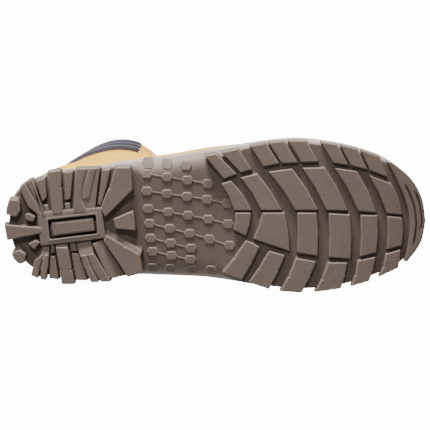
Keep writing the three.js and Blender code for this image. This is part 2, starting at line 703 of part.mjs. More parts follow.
put('outsole', makeOutsole(), 'rubber');
put('heel_insert', makeHeelInsert(), 'rubber');
put('midsole', makeMidsole(), 'foam');
put('shank', shankBox(0, 0), 'steel');
put('insole_board', insoleLayer(boardInset, gap, boardThickness), 'board');
put('footbed', insoleLayer(boardInset + 1, boardThickness + 2 * gap, footbedThickness), 'textile');
put('steel_toe_cap', makeToeCap(), 'steel');
put('toe_cap_edge_strip', makeCapStrip(), 'rubber');
put('heel_counter', makeHeelCounter(), 'board');
put('vamp', makeVamp(), 'nubuck');
put('vamp_lining', makeVampLining(), 'textile');
put('quarter_lateral', quarter(-1), 'nubuck');
put('quarter_medial', quarter(1), 'nubuck');
put('backstay', makeBackstay(), 'nubuck');
put('eyestay_lateral', eyestay(-1), 'nubuck');
put('eyestay_medial', eyestay(1), 'nubuck');
put('shaft_lining', makeShaftLining(), 'textile');
put('collar_padding', makeCollar(), 'textile');
put('tongue', makeTongue(), 'textile');
put('tongue_padding', makeTonguePadding(), 'foam');
put('gusset_lateral', gusset(-1), 'textile');
put('gusset_medial', gusset(1), 'textile');
for (const [word, side] of [['lateral', -1], ['medial', 1]]) {
  eyeletPlaces(side).forEach((place, k) => {
    put(`eyelet_${word}_${k + 1}`, placed(eyeletShape(), place), 'eyelet');
  });
}

export default boot;
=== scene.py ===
"""Looks of a steel toe work boot, a right one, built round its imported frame.

The shapes are worked out in millimetres, in the frame's axes: +X to the toe, +Y to the medial
side, +Z up. They become metres when a mesh is made.
"""

import bmesh
import bpy
import numpy as np
from mathutils import Matrix, Vector


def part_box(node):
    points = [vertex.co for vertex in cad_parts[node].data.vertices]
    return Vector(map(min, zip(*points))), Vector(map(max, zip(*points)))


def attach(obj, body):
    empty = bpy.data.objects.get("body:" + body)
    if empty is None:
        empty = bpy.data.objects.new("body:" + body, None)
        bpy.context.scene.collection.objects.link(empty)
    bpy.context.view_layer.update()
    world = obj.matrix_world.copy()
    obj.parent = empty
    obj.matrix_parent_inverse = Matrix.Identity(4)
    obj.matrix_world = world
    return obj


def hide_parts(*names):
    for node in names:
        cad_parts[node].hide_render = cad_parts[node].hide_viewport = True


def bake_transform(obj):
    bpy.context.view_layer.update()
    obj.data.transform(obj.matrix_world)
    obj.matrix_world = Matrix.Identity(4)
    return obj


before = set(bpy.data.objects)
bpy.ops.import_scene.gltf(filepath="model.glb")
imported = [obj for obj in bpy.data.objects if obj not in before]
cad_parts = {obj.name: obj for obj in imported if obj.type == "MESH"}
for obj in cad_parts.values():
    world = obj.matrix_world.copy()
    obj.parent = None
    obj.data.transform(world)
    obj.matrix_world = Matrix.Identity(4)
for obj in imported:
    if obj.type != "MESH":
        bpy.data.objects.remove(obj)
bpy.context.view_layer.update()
MM = 0.001

# ------------------------------------------------------------------ camera, floor and lights
SHOOTING_DISTANCE = 1.2
TILT = np.radians(8.5)           # how far the camera stands to the lateral side of straight below
FRAMED_LENGTH = 0.3153           # what the picture's width takes in, at the tread
AIM = Vector((-0.0007, -0.001, 0.004))
SHINE = 1.12                     # light of the surroundings in reflections


def look(thing, eye, target, up):
    """Places a camera or a lamp at eye, facing target, with up towards the top of its picture."""
    back = (Vector(eye) - Vector(target)).normalized()
    right = Vector(up).cross(back).normalized()
    thing.matrix_world = Matrix.Translation(Vector(eye)) @ Matrix(
        (right, back.cross(right), back)).transposed().to_4x4()


def make_camera():
    """A long lens below the boot, which looks up at the tread with the toe to the right."""
    data = bpy.data.cameras.new("camera")
    data.sensor_width = 36
    data.lens = data.sensor_width * SHOOTING_DISTANCE / FRAMED_LENGTH
    camera = bpy.data.objects.new("camera", data)
    bpy.context.scene.collection.objects.link(camera)
    direction = Vector((0, -np.sin(TILT), -np.cos(TILT)))
    look(camera, AIM + SHOOTING_DISTANCE * direction, AIM, (0, -1, 0))
    bpy.context.scene.camera = camera


def make_lamp(name, eye, size, power):
    """Square area lamp, size metres wide, turned towards the boot."""
    data = bpy.data.lights.new(name, "AREA")
    data.size = size
    data.energy = power
    lamp = bpy.data.objects.new(name, data)
    bpy.context.scene.collection.objects.link(lamp)
    look(lamp, eye, (0, 0, 0.03), (0, 0.01, 1))


def plain_light(tree, strength):
    """Node of an even white light."""
    light = tree.nodes.new("ShaderNodeBackground")
    light.inputs["Color"].default_value = (1, 1, 1, 1)
    light.inputs["Strength"].default_value = strength
    return light


def choose(tree, question, no, yes):
    """Node that takes one of two shaders by what a yes or no output says."""
    made = tree.nodes.new("ShaderNodeMixShader")
    for socket, source in enumerate((question, no.outputs[0], yes.outputs[0])):
        tree.links.new(source, made.inputs[socket])
    return made


def make_surroundings():
    """Even white light: weak on the boot, brighter in its reflections, brightest as backdrop."""
    world = bpy.data.worlds.new("surroundings")
    world.use_nodes = True
    bpy.context.scene.world = world
    tree = world.node_tree
    sky, shine, backdrop = (plain_light(tree, strength) for strength in (0.17, SHINE, 14.0))
    ray = tree.nodes.new("ShaderNodeLightPath")
    lit = choose(tree, ray.outputs["Is Glossy Ray"], sky, shine)
    shown = choose(tree, ray.outputs["Is Camera Ray"], lit, backdrop)
    tree.links.new(shown.outputs[0], tree.nodes["World Output"].inputs[0])


def make_floor():
    """Pale floor whose underside is clear, so that the tread is seen and lit through it."""
    half, drop = 9.0, 0.0004
    mesh = bpy.data.meshes.new("floor")
    mesh.from_pydata([(-half, -half, -drop), (half, -half, -drop), (half, half, -drop),
                      (-half, half, -drop)], [], [(0, 1, 2, 3)])
    floor = bpy.data.objects.new("floor", mesh)
    bpy.context.scene.collection.objects.link(floor)
    surface = bpy.data.materials.new("floor")
    surface.use_nodes = True
    tree = surface.node_tree
    paint = tree.nodes["Principled BSDF"]
    paint.inputs["Base Color"].default_value = (0.8, 0.8, 0.79, 1)
    paint.inputs["Roughness"].default_value = 0.9
    side = tree.nodes.new("ShaderNodeNewGeometry")
    clear = tree.nodes.new("ShaderNodeBsdfTransparent")
    shown = choose(tree, side.outputs["Backfacing"], paint, clear)
    tree.links.new(shown.outputs[0], tree.nodes["Material Output"].inputs[0])
    mesh.materials.append(surface)
    floor.visible_shadow = False
    floor.visible_diffuse = False
    floor.visible_glossy = False


def make_lamps():
    """The key is low on the lateral side, with a small one below, one above and one behind."""
    make_lamp("key", (-0.2, -1.25, -0.30), 0.35, 40.0)
    make_lamp("below", (-0.15, -0.66, -1.02), 0.12, 7.0)
    make_lamp("above", (0.15, -0.75, 1.05), 0.9, 17.0)
    make_lamp("behind", (-0.5, 0.95, 0.25), 0.8, 3.0)


make_camera()
make_surroundings()
make_floor()
make_lamps()


# ------------------------------------------------------------------ materials
class Value:
    """A number that varies over a surface. Its operators add Math nodes."""

    def __init__(self, finish, socket):
        self.finish = finish
        self.socket = socket

    def calc(self, operation, first, second=0.0):
        """Result of a Math node on two values or numbers."""
        return self.finish.node("ShaderNodeMath", {"operation": operation}, {0: first, 1: second})

    def __add__(self, other):
        return self.calc("ADD", self, other)

    def __radd__(self, other):
        return self.calc("ADD", other, self)

    def __sub__(self, other):
        return self.calc("SUBTRACT", self, other)

    def __rsub__(self, other):
        return self.calc("SUBTRACT", other, self)

    def __mul__(self, other):
        return self.calc("MULTIPLY", self, other)

    def __rmul__(self, other):
        return self.calc("MULTIPLY", other, self)

    def __gt__(self, other):
        return self.calc("GREATER_THAN", self, other)

    def clamped(self):
        """The same value, kept from 0 to 1."""
        return self.finish.node("ShaderNodeClamp", {}, {0: self})


class Finish:
    """One material. Constants are set on its shader, and what varies comes from its nodes."""

    def __init__(self, name, **constants):
        self.material = bpy.data.materials.new(name)
        self.material.use_nodes = True
        self.tree = self.material.node_tree
        self.shader = self.tree.nodes["Principled BSDF"]
        for socket, value in constants.items():
            self.shader.inputs[socket.replace("_", " ")].default_value = value

    def node(self, kind, settings=None, inputs=None, output=0):
        """Adds a node, sets it, and gives one of its outputs. A ramp's stops are (place, colour)."""
        made = self.tree.nodes.new(kind)
        for key, value in (settings or {}).items():
            if key == "stops":
                ramp = made.color_ramp.elements
                while len(ramp) < len(value):
                    ramp.new(0.5)
                for stop, (place, colour) in zip(ramp, value):
                    stop.position = place
                    stop.color = (*colour, 1)
            else:
                setattr(made, key, value)
        for key, value in (inputs or {}).items():
            if isinstance(value, Value):
                self.tree.links.new(value.socket, made.inputs[key])
            else:
                made.inputs[key].default_value = value
        return Value(self, made.outputs[output])

    def place(self):
        """Position in the boot's own frame."""
        return self.node("ShaderNodeTexCoord", output="Object")

    def noise(self, scale, detail=3.0, at=None, roughness=0.55, stretch=None):
        """Soft noise from 0 to 1, with about scale patches to the metre."""
        where = at or self.place()
        if stretch:
            where = self.node("ShaderNodeMapping", {}, {"Vector": where, "Scale": stretch})
        return self.node("ShaderNodeTexNoise", {}, {
            "Vector": where, "Scale": scale, "Detail": detail, "Roughness": roughness})

    def ramp(self, value, *stops):
        """Colour read off a ramp of stops, each a place and a colour."""
        return self.node("ShaderNodeValToRGB", {"stops": stops}, {0: value})

    def mixed(self, share, first, second):
        """Colour between two, each a colour or the output of a node."""
        colours = [c if isinstance(c, Value) else (*c, 1) for c in (first, second)]
        return self.node("ShaderNodeMix", {"data_type": "RGBA"},
                         {0: share, 6: colours[0], 7: colours[1]}, output=2)

    def attribute(self, name):
        """A value stored at the mesh's points."""
        return self.node("ShaderNodeAttribute", {"attribute_name": name}, output="Fac")

    def bump(self, height, distance, strength=1.0, base=None):
        """Normal tilted by a height, over another bump where base gives one."""
        inputs = {"Height": height, "Distance": distance, "Strength": strength}
        if base:
            inputs["Normal"] = base
        return self.node("ShaderNodeBump", {}, inputs)

    def set(self, **varying):
        """Feeds the shader's sockets with what varies, and gives the material."""
        for socket, value in varying.items():
            self.tree.links.new(value.socket, self.shader.inputs[socket.replace("_", " ")])
        return self.material


def tread_rubber():
    """Moulded taupe rubber with pale specks of dust. A value at its points paints shade and light
    into its colour: painted shade darkens the grooves and the lugs' feet, and a painted highlight
    lightens the lugs' bevels and the upper sidewall, which are also glossier.
    """
    f = Finish("tread_rubber", Specular_IOR_Level=0.35)
    # The face value is 0 where painted shade falls, 1 on the lug faces and over 1 where painted
    # light goes.
    face = f.attribute("face")
    cloud = f.noise(38, 4)
    grain = f.noise(900, 2)
    # The rubber's own colour on the lug faces, then a darker copy of it: painted shade for the
    # grooves and the lugs' feet.
    rubbed = f.mixed(cloud, (0.122, 0.088, 0.068), (0.165, 0.124, 0.098))
    groove_shade = f.mixed(cloud, (0.072, 0.050, 0.037), (0.112, 0.081, 0.061))
    speck = (f.noise(1500, 1) > 0.66) * 0.35
    colour = f.mixed(face, groove_shade, rubbed)
    colour = f.mixed(speck, colour, (0.27, 0.225, 0.19))
    mould = f.bump(grain, 0.00025, 0.5)
    wide = f.bump(f.noise(160, 3), 0.0005, 0.35, mould)
    # Over 1 on the bevels and up the sidewall: a painted highlight lightens the colour there, and
    # the rubber is glossier.
    smooth = (face - 1).clamped()
    colour = f.mixed(0.75 * smooth, colour, (0.36, 0.29, 0.24))
    return f.set(Base_Color=colour, Roughness=0.60 + 0.2 * f.noise(220, 3) - 0.32 * smooth,
                 Normal=wide)


def nubuck_leather():
    """Wheat nubuck: a fine nap with brushed patches and pale scuffs."""
    f = Finish("nubuck", Specular_IOR_Level=0.08, Sheen_Weight=0.08, Sheen_Roughness=0.5,
               Sheen_Tint=(1.0, 0.72, 0.35, 1))
    brushed = f.noise(26, 5, roughness=0.6)
    nap = f.noise(1400, 3, roughness=0.7)
    patches = f.ramp(brushed, (0.30, (0.62, 0.30, 0.022)), (0.52, (0.76, 0.41, 0.034)),
                     (0.72, (0.86, 0.50, 0.055)))
    fibres = f.mixed(nap, patches, (0.90, 0.57, 0.09))
    colour = f.mixed(0.55 * nap, patches, fibres)
    scuff = (f.noise(90, 2, stretch=(1, 0.35, 0.6)) > 0.69) * 0.25
    colour = f.mixed(scuff, colour, (0.85, 0.55, 0.18))
    hair = f.bump(nap, 0.0003, 0.6)
    pebble = f.bump(f.noise(300, 4), 0.00045, 0.4, hair)
    return f.set(Base_Color=colour, Roughness=0.82 + 0.15 * brushed, Normal=pebble)


def woven_textile(name, dark, light, pitch, sheen=0.4):
    """Woven cloth laid by the piece's own map: threads over and under in both directions."""
    f = Finish(name, Specular_IOR_Level=0.25, Sheen_Weight=sheen, Sheen_Roughness=0.4)
    split = f.node("ShaderNodeUVMap", {"uv_map": "UVMap"})
    turns = 1 / pitch
    warp = f.node("ShaderNodeTexWave", {"wave_type": "BANDS", "bands_direction": "X"},
                  {"Vector": split, "Scale": turns / 3.18, "Distortion": 0.6, "Detail": 1.0})
    weft = f.node("ShaderNodeTexWave", {"wave_type": "BANDS", "bands_direction": "Y"},
                  {"Vector": split, "Scale": turns / 3.18, "Distortion": 0.6, "Detail": 1.0})
    weave = warp * weft
    cloud = f.noise(70, 3)
    colour = f.mixed((0.35 * cloud + 0.75 * weave).clamped(), dark, light)
    threads = f.bump(weave, 0.0004, 0.8)
    return f.set(Base_Color=colour, Roughness=0.78 + 0.18 * cloud, Normal=threads)


def thread():
    """Twisted sewing thread, waxed and a little darker than the leather."""
    f = Finish("thread", Specular_IOR_Level=0.4, Roughness=0.55)
    twist = f.noise(2600, 1)
    return f.set(Base_Color=f.mixed(twist, (0.30, 0.20, 0.075), (0.50, 0.36, 0.16)),
                 Normal=f.bump(twist, 0.0002, 0.6))


def aged_metal(name, dark, light, roughness, marks):
    """Plated or pressed metal with a mottled tone and fine rubbed marks."""
    f = Finish(name, Metallic=1.0)
    cloud = f.noise(marks, 4)
    return f.set(Base_Color=f.mixed(cloud, dark, light), Roughness=roughness + 0.2 * cloud,
                 Normal=f.bump(f.noise(marks * 5, 3), 0.0001, 0.4))


def plain_fill(name, dark, light, grain, roughness=0.85):
    """Foam or pressed board: small pores and a mottled tone."""
    f = Finish(name, Specular_IOR_Level=0.2)
    pores = f.noise(grain, 3, roughness=0.7)
    return f.set(Base_Color=f.mixed(pores, dark, light), Roughness=roughness + 0.1 * pores,
                 Normal=f.bump(pores, 0.0005, 0.5))


RUBBER = tread_rubber()
NUBUCK = nubuck_leather()
COLLAR = woven_textile("collar_textile", (0.022, 0.019, 0.031), (0.090, 0.080, 0.108), 0.0011)
LINING = woven_textile("lining_textile", (0.035, 0.033, 0.038), (0.12, 0.115, 0.12), 0.0016, 0.2)
THREAD = thread()
EYELET = aged_metal("eyelet_metal", (0.24, 0.205, 0.16), (0.42, 0.37, 0.30), 0.28, 240)
STEEL = aged_metal("steel", (0.30, 0.31, 0.32), (0.46, 0.47, 0.48), 0.34, 90)
FOAM = plain_fill("midsole_foam", (0.50, 0.38, 0.21), (0.64, 0.50, 0.30), 700)
BOARD = plain_fill("board", (0.36, 0.28, 0.19), (0.50, 0.41, 0.29), 420)

# ------------------------------------------------------------------ the boot's tables and sizes
outsole_low, outsole_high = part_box("outsole")
SOLE_LENGTH = (outsole_high.x - outsole_low.x) / MM
SOLE_WIDTH = (outsole_high.y - outsole_low.y) / MM
HEEL_LUG = 9.0
FORE_LUG = 5.0
WAIST_HEIGHT = 14.0
FEATHER = 28.0
HEEL_RISE = 8.0
TOE_SPRING = 11.0
BALL_X, TOE_X = 60.0, 155.0
RIM_WIDTH = 9.0
WEB = 3.5
LEATHER = 2.0
CAP_WALL = 1.8
LINING_THICK = 1.2
TONGUE_THICK = 1.6
TONGUE_PAD = 6.0
BOARD_THICK = 2.5
FACING_HALF_GAP = 21.0
FACING_WIDTH = 26.0
FACING_PROUD = 1.2
TONGUE_HALF = 18.5
EYELET_INSET = 8.5
EYELET_EDGE = 10.0
EYELETS = 7
GAP = 0.3
LAYER_GAP = 0.8
THROAT, COLLAR_ROW = 8.0, 15.1
TUCK = 0.22          # rows that the leather reaches up under the collar's lower edge
RIDGE_Y = 4.5
COLLAR_PROUD, COLLAR_THICK = 3.0, 9.0

SOLE = np.array([  # x, lateral edge y, medial edge y
    [-155, 6.5, 6.5], [-151, -13, 25], [-143, -23, 36], [-133, -29, 43.5], [-120, -33, 48],
    [-104, -35.5, 49.5], [-84, -37, 48.5], [-62, -39.3, 47.8], [-35, -42.5, 48.3], [-8, -47, 49.3],
    [14, -51, 51.5], [36, -54.6, 54.2], [60, -56.5, 56.5], [84, -54, 55], [104, -49.5, 51],
    [122, -43, 45], [136, -34, 38.5], [146, -24, 29.5], [152.5, -11, 18.5], [155, 4.5, 4.5]],
    float) * (SOLE_LENGTH / 310, SOLE_WIDTH / 113, SOLE_WIDTH / 113)

UPPER = np.array([  # ridge x, z; bottom or back x, z; widest lateral and medial y
    [151, 43, 151, 43, 4.5, 4.5], [149.6, 57, 149.6, 25, -8, 16],
    [144.5, 68.5, 144.5, 22, -20, 26], [135, 77, 135, 20, -30, 35.5],
    [120, 83, 120, 17, -39.5, 42.5], [98, 87, 98, 15, -47, 49], [70, 92, 70, 12, -52.5, 53],
    [44, 101, 44, 12, -52.3, 53], [20, 113, 20, 12, -48.5, 53], [4, 124.5, -20, 12, -44.5, 51.5],
    [-7, 134.5, -70, 12, -38.5, 49], [-16, 144.5, -120, 10, -35, 47.5],
    [-24, 154, -149.5, 22, -33, 46], [-30, 162, -150.5, 58, -32, 44.5],
    [-34, 168.5, -146.5, 88, -31, 43], [-37, 174, -139.5, 118, -32.5, 43.5],
    [-39, 178.8, -131.5, 146, -35, 46], [-40, 183, -124.5, 170, -37, 48.5]], float)
TOP_ROW = len(UPPER) - 1.0
SOLE_ROWS = len(SOLE) - 1.0


def mix(a, b, t):
    """Value a share t of the way from a to b."""
    return a + (b - a) * t


def smoothstep(x, low, high):
    """Smooth rise from 0 at low to 1 at high: three t squared less two t cubed."""
    t = np.clip((x - low) / (high - low), 0, 1)
    return t * t * (3 - 2 * t)


def sample(table, row):
    """Value of a table at fractional rows: Catmull-Rom between its rows."""
    last = len(table) - 1
    row = np.clip(np.asarray(row, float), 0, last)
    i = np.clip(np.floor(row).astype(int), 0, last - 1)
    t = (row - i)[..., None]
    a, b, c, d = (table[np.clip(i + k, 0, last)] for k in (-1, 0, 1, 2))
    return 0.5 * (2 * b + (c - a) * t + (2 * a - 5 * b + 4 * c - d) * t ** 2
                  + (3 * b - a - 3 * c + d) * t ** 3)


def row_at(table, x):
    """Row at which the table's first column reaches x, read off a fine sampling."""
    fine = np.linspace(0, len(table) - 1, 800)
    return np.interp(x, sample(table, fine)[:, 0], fine)


def outline(row, side):
    """Plan point of the sole's edge: beyond either end it carries on along the other side."""
    row = np.asarray(row, float)
    inside = np.where(row < 0, -row, np.where(row > SOLE_ROWS, 2 * SOLE_ROWS - row, row))
    flipped = (row < 0) | (row > SOLE_ROWS)
    x, lateral, medial = np.moveaxis(sample(SOLE, inside), -1, 0)
    return np.stack([x, np.where((side < 0) != flipped, lateral, medial)], -1)


def inset_edge(row, side, inset):
    """The sole's edge moved inwards by inset, square to itself."""
    step = 0.05
    along = outline(row + step, side) - outline(row - step, side)
    along /= np.linalg.norm(along, axis=-1, keepdims=True)
    square = side * np.stack([along[..., 1], -along[..., 0]], -1)
    return outline(row, side) + np.asarray(inset)[..., None] * square


def lift(x):
    """Toe spring: the tread rises with the square of the way from the ball to the toe tip."""
    return TOE_SPRING * (np.maximum(0, x - BALL_X) / (TOE_X - BALL_X)) ** 2


def floor_z(x):
    """Height of the base between the lugs: heel and forefoot depths, and higher in the waist."""
    waist = smoothstep(x, -66, -56) * (1 - smoothstep(x, -14, 14))
    return mix(np.where(x < -35, HEEL_LUG, FORE_LUG), WAIST_HEIGHT, waist) + lift(x)


def feather_z(x):
    """Height of the sole's rim, which rises smoothly towards the heel."""
    return FEATHER + lift(x) + HEEL_RISE * (1 - smoothstep(x, -110, 20))


# ------------------------------------------------------------------ meshes
class Body:
    """Points and faces gathered for one mesh, with a value for each point."""

    def __init__(self):
        self.points = []
        self.faces = []
        self.marks = []
        self.count = 0

    def add(self, points, faces, mark=1.0):
        """Adds a closed shape, whose faces count its own points from 0."""
        flat = np.asarray(points, float).reshape(-1, 3)
        self.points.append(flat)
        self.marks.append(np.broadcast_to(np.asarray(mark, float), (len(flat),)))
        self.faces.extend((np.asarray(face) + self.count).tolist() for face in faces)
        self.count += len(flat)


def make_object(name, points, faces, material, sharp=None, uv=None, mark=None, weld=True):
    """Mesh object in metres, at the origin. uv is per point, in metres. Faces that share points
    within a micrometre are joined. Edges sharper than sharp degrees stay crisp."""
    mesh = bpy.data.meshes.new(name)
    points = np.asarray(points, float).reshape(-1, 3) * MM
    mesh.from_pydata(points.tolist(), [], [list(map(int, face)) for face in faces])
    if uv is not None:
        layer = mesh.uv_layers.new(name="UVMap")
        corners = np.zeros(len(mesh.loops), int)
        mesh.loops.foreach_get("vertex_index", corners)
        layer.data.foreach_set("uv", np.asarray(uv, float).reshape(-1, 2)[corners].ravel())
    # The face value at each point feeds the rubber's painted shade, below 1, and its painted
    # highlight, above 1.
    if mark is not None:
        mesh.attributes.new("face", "FLOAT", "POINT").data.foreach_set(
            "value", np.asarray(mark, np.float32))
    thing = bpy.data.objects.new(name, mesh)
    bpy.context.scene.collection.objects.link(thing)
    tidy(mesh, weld)
    mesh.materials.append(material)
    mesh.polygons.foreach_set("use_smooth", np.ones(len(mesh.polygons), bool))
    if sharp is not None:
        mesh.set_sharp_from_angle(angle=np.radians(sharp))
    mesh.update()
    return thing


def tidy(mesh, weld):
    """Turns every shell's faces outwards, after its shared points are joined and its empty faces
    dropped where it is a single shell."""
    work = bmesh.new()
    work.from_mesh(mesh)
    if weld:
        bmesh.ops.remove_doubles(work, verts=work.verts, dist=2e-6)
        bmesh.ops.dissolve_degenerate(work, edges=work.edges, dist=1e-7)
    bmesh.ops.recalc_face_normals(work, faces=work.faces)
    work.to_mesh(mesh)
    work.free()


def quads_of(index):
    """Quads between the neighbouring entries of a grid of point numbers."""
    return np.stack([index[:-1, :-1], index[1:, :-1], index[1:, 1:], index[:-1, 1:]],
                    -1).reshape(-1, 4)


def grid_faces(ni, nj, wrap=False, close=False):
    """Quads of a grid of ni by nj points; wrap joins its ends along j, and close along i."""
    index = np.arange(ni * nj).reshape(ni, nj)
    if wrap:
        index = np.concatenate([index, index[:, :1]], 1)
    if close:
        index = np.concatenate([index, index[:1]])
    return quads_of(index)


def capped_faces(rings, n):
    """Faces of a solid made of rings of n points: its walls and a face at either end."""
    count = rings * n
    return grid_faces(rings, n, wrap=True).tolist() + [
        list(range(n)), list(range(count - 1, count - n - 1, -1))]


def edge_loop(ni, nj):
    """Indices round the edge of a grid of ni by nj points."""
    index = np.arange(ni * nj).reshape(ni, nj)
    return np.concatenate([index[0, :-1], index[:-1, -1], index[-1, :0:-1], index[:0:-1, 0]])


def shell_faces(ni, nj):
    """Faces of a thin shell: two grids of points and a wall round their edges."""
    outer = grid_faces(ni, nj)
    loop = edge_loop(ni, nj)
    after = np.roll(loop, -1)
    inner = ni * nj
    wall = np.stack([loop, after, after + inner, loop + inner], -1)
    return np.concatenate([outer, outer[:, ::-1] + inner, wall])


# ------------------------------------------------------------------ the outsole
def stacked(body, rings, mark, per_row=7, count=9):
    """Closed solid from rings that follow the sole's edge. Each ring has an inset and a height,
    both over x, and the inset over the side too. Walls join ring to ring, and straight lines
    from the lateral edge to the medial one make a surface across the first and the last."""
    rows = np.linspace(0, SOLE_ROWS, int(SOLE_ROWS * per_row) + 1)
    last = len(rows) - 1
    walls = []
    for inset, z in rings:
        edges = [inset_edge(rows, side, inset(outline(rows, side)[:, 0], side)) for side in (-1, 1)]
        plan = np.concatenate([edges[0], edges[1][-2:0:-1]])
        walls.append(np.concatenate([plan, z(plan[:, :1])], -1))
    walls = np.array(walls)
    marks = [mark(k) for k in range(len(rings))]
    n = walls.shape[1]
    points, values = [walls.reshape(-1, 3)], [np.repeat(marks, n)]
    faces = grid_faces(*walls.shape[:2], wrap=True)[:, ::-1].tolist()
    total = walls.size // 3
    for k, turn in ((0, -1), (len(rings) - 1, 1)):
        ring = k * n + np.arange(n)
        index = np.zeros((last + 1, count), int)
        index[:, 0] = ring[:last + 1]
        index[1:-1, -1] = ring[:last:-1]
        index[0], index[-1] = ring[0], ring[last]
        index[1:-1, 1:-1] = total + np.arange((last - 1) * (count - 2)).reshape(last - 1, -1)
        t = np.linspace(0, 1, count)[None, 1:-1, None]
        sheet = mix(walls[k][1:last, None], walls[k][:last:-1][:, None], t)
        points.append(sheet.reshape(-1, 3))
        values.append(np.full(sheet.size // 3, marks[k]))
        total += sheet.size // 3
        heel_fan = np.stack([index[0, :-1], index[1, :-1], index[1, 1:]], -1)
        toe_fan = np.stack([index[-2, :-1], index[-1, :-1], index[-2, 1:]], -1)
        for part in (quads_of(index[1:-1]), heel_fan, toe_fan):
            faces += part[:, ::turn].tolist()
    body.add(np.concatenate(points), faces, np.concatenate(values))


def turning(corners):
    """1 where a closed outline runs anticlockwise and -1 where clockwise: the sign of its area."""
    p = np.asarray(corners, float)
    return np.sign(np.sum(p[:, 0] * np.roll(p[:, 1], -1) - p[:, 1] * np.roll(p[:, 0], -1)))


def anticlockwise(corners):
    """Corners of a closed outline in anticlockwise order."""
    return np.asarray(corners, float)[::int(turning(corners))]


def rounded(corners, radius, steps=3):
    """Closed outline with its corners rounded: each becomes a short quadratic curve."""
    p = anticlockwise(corners)

    def towards(q):
        """Points a radius from each corner towards a neighbour, or just short of halfway."""
        way = q - p
        length = np.linalg.norm(way, axis=1, keepdims=True)
        return p + way * np.minimum(radius / length, 0.45)

    a, b = towards(np.roll(p, 1, 0)), towards(np.roll(p, -1, 0))
    t = np.linspace(0, 1, steps + 1)[None, :, None]
    curve = (1 - t) ** 2 * a[:, None] + 2 * t * (1 - t) * p[:, None] + t ** 2 * b[:, None]
    return curve.reshape(-1, 2)


def inward(corners, distance):
    """Corners of a closed outline after its sides move inwards: each shifts by the sum of its two
    sides' normals over one plus their dot product."""
    p = anticlockwise(corners)
    before, after = p - np.roll(p, 1, 0), np.roll(p, -1, 0) - p
    one, two = (np.stack([-d[:, 1], d[:, 0]], -1) / np.linalg.norm(d, axis=1, keepdims=True)
                for d in (before, after))
    meet = np.sum(one * two, axis=1, keepdims=True)
    return p + distance * (one + two) / np.maximum(1 + meet, 0.45)


ROOT = 1.2          # how far a block's foot reaches into the base
LOW_LUG_DROP = 2.6  # how far a low lug's face lies above the tread's


def block(body, corners, face_z, foot_z, draft=0.8, bevel=0.6, radius=1.0, margin=0.35):
    """Moulded block under the sole: sloping sides from its foot in the base, a rounded bevel and
    a flat face. face_z and foot_z are heights over x and y."""
    levels = [(-draft, 1.0, 0.0), (-0.12 * draft, 0.0, bevel), (0.3 * bevel, 0.0, 0.3 * bevel),
              (bevel, 0.0, 0.0), (bevel + margin, 0.0, 0.0)]
    rings = []      # each level's outline, moved inwards, and how far its height is from the face
    for move, at_foot, above in levels:
        plan = rounded(inward(corners, move), max(radius - move, 0.3 * radius))
        x, y = plan[:, 0], plan[:, 1]
        z = mix(face_z(x, y) + above, foot_z(x, y), at_foot)
        rings.append(np.stack([x, y, z], -1))
    n = len(rings[0])
    # Values for the rubber's colour: 0 at the foot gives painted shade, 1.6 on the bevel a painted
    # highlight.
    body.add(np.array(rings), capped_faces(len(rings), n), np.repeat([0.0, 1.0, 1.6, 1.0, 1.0], n))


# Outlines of the heel's lugs, fanned round its centre plate.
HEEL_LUGS = [
    [[-143.5, -21.5], [-139.5, -24.8], [-131, -10], [-128.3, -1], [-130.5, -2], [-137, -7.5]],
    [[-138.5, -25.6], [-134, -28], [-130, -14], [-124, 0], [-127.5, -1.5], [-129.5, -10]],
    [[-123, -33], [-113.5, -34.5], [-112.8, -21], [-111.5, -3], [-119.5, -1.5], [-121.5, -20]],
    [[-101.5, -35.5], [-94, -35.8], [-97.5, -24], [-98.5, -12], [-93, -3], [-104.5, -3],
     [-103, -22]],
    [[-92.3, -35.8], [-87, -36], [-89.5, -28], [-92.5, -14], [-97, -13], [-96, -24]],
    [[-73, -36.5], [-62.5, -36.5], [-61, -20], [-81, 0], [-84.5, -6], [-80.5, -16], [-76.5, -25]],
    [[-127, 28], [-130, 38.5], [-130.8, 45.5], [-136, 43.3], [-133, 32]],
    [[-125.6, 28], [-122.8, 28], [-123.5, 37], [-125.5, 47.2], [-129.3, 46], [-128.4, 38]],
    [[-117.5, 22.5], [-108.7, 22.5], [-107.5, 31], [-104, 50], [-113.5, 50], [-116, 31]],
    [[-99.3, 28.5], [-95.3, 28], [-92, 38], [-86.5, 48.5], [-92, 48.5], [-97.5, 36]],
    [[-94, 27.8], [-89.8, 27], [-85.5, 34], [-77.5, 48], [-84.5, 48.3], [-90.5, 38]],
    [[-80.5, 13.5], [-56, 28], [-54, 41.5], [-65, 44.5], [-72, 33.5], [-82.5, 18]],
    [[-150.5, -13], [-144.5, -12.5], [-143, -5], [-146, 0], [-153.5, -2], [-153, -7]],
    [[-155, 5.5], [-140, 7], [-127.5, 7.6], [-127, 11.8], [-141, 14.6], [-153, 17.3]],
    [[-150, 27], [-144.5, 24.5], [-139.5, 27.5], [-141, 34], [-144.5, 35], [-148.5, 31]],
    [[-139.5, -1.5], [-137.5, -3], [-132, -0.5], [-133.5, 3.5], [-139, 2]],
    [[-137.5, 20], [-132, 17], [-129, 19], [-133.5, 24]],
    [[-75, 1.5], [-60.5, -4.5], [-59, 10], [-73.5, 8.5]],
]
HEEL_NICKS = {2: [(1, 0.93), (4, 0.95)], 5: [(5, 0.6)], 8: [(2, 0.42), (4, 0.57)],
              11: [(0, 0.55)]}   # a lug's number, and the sides and places of its nicks
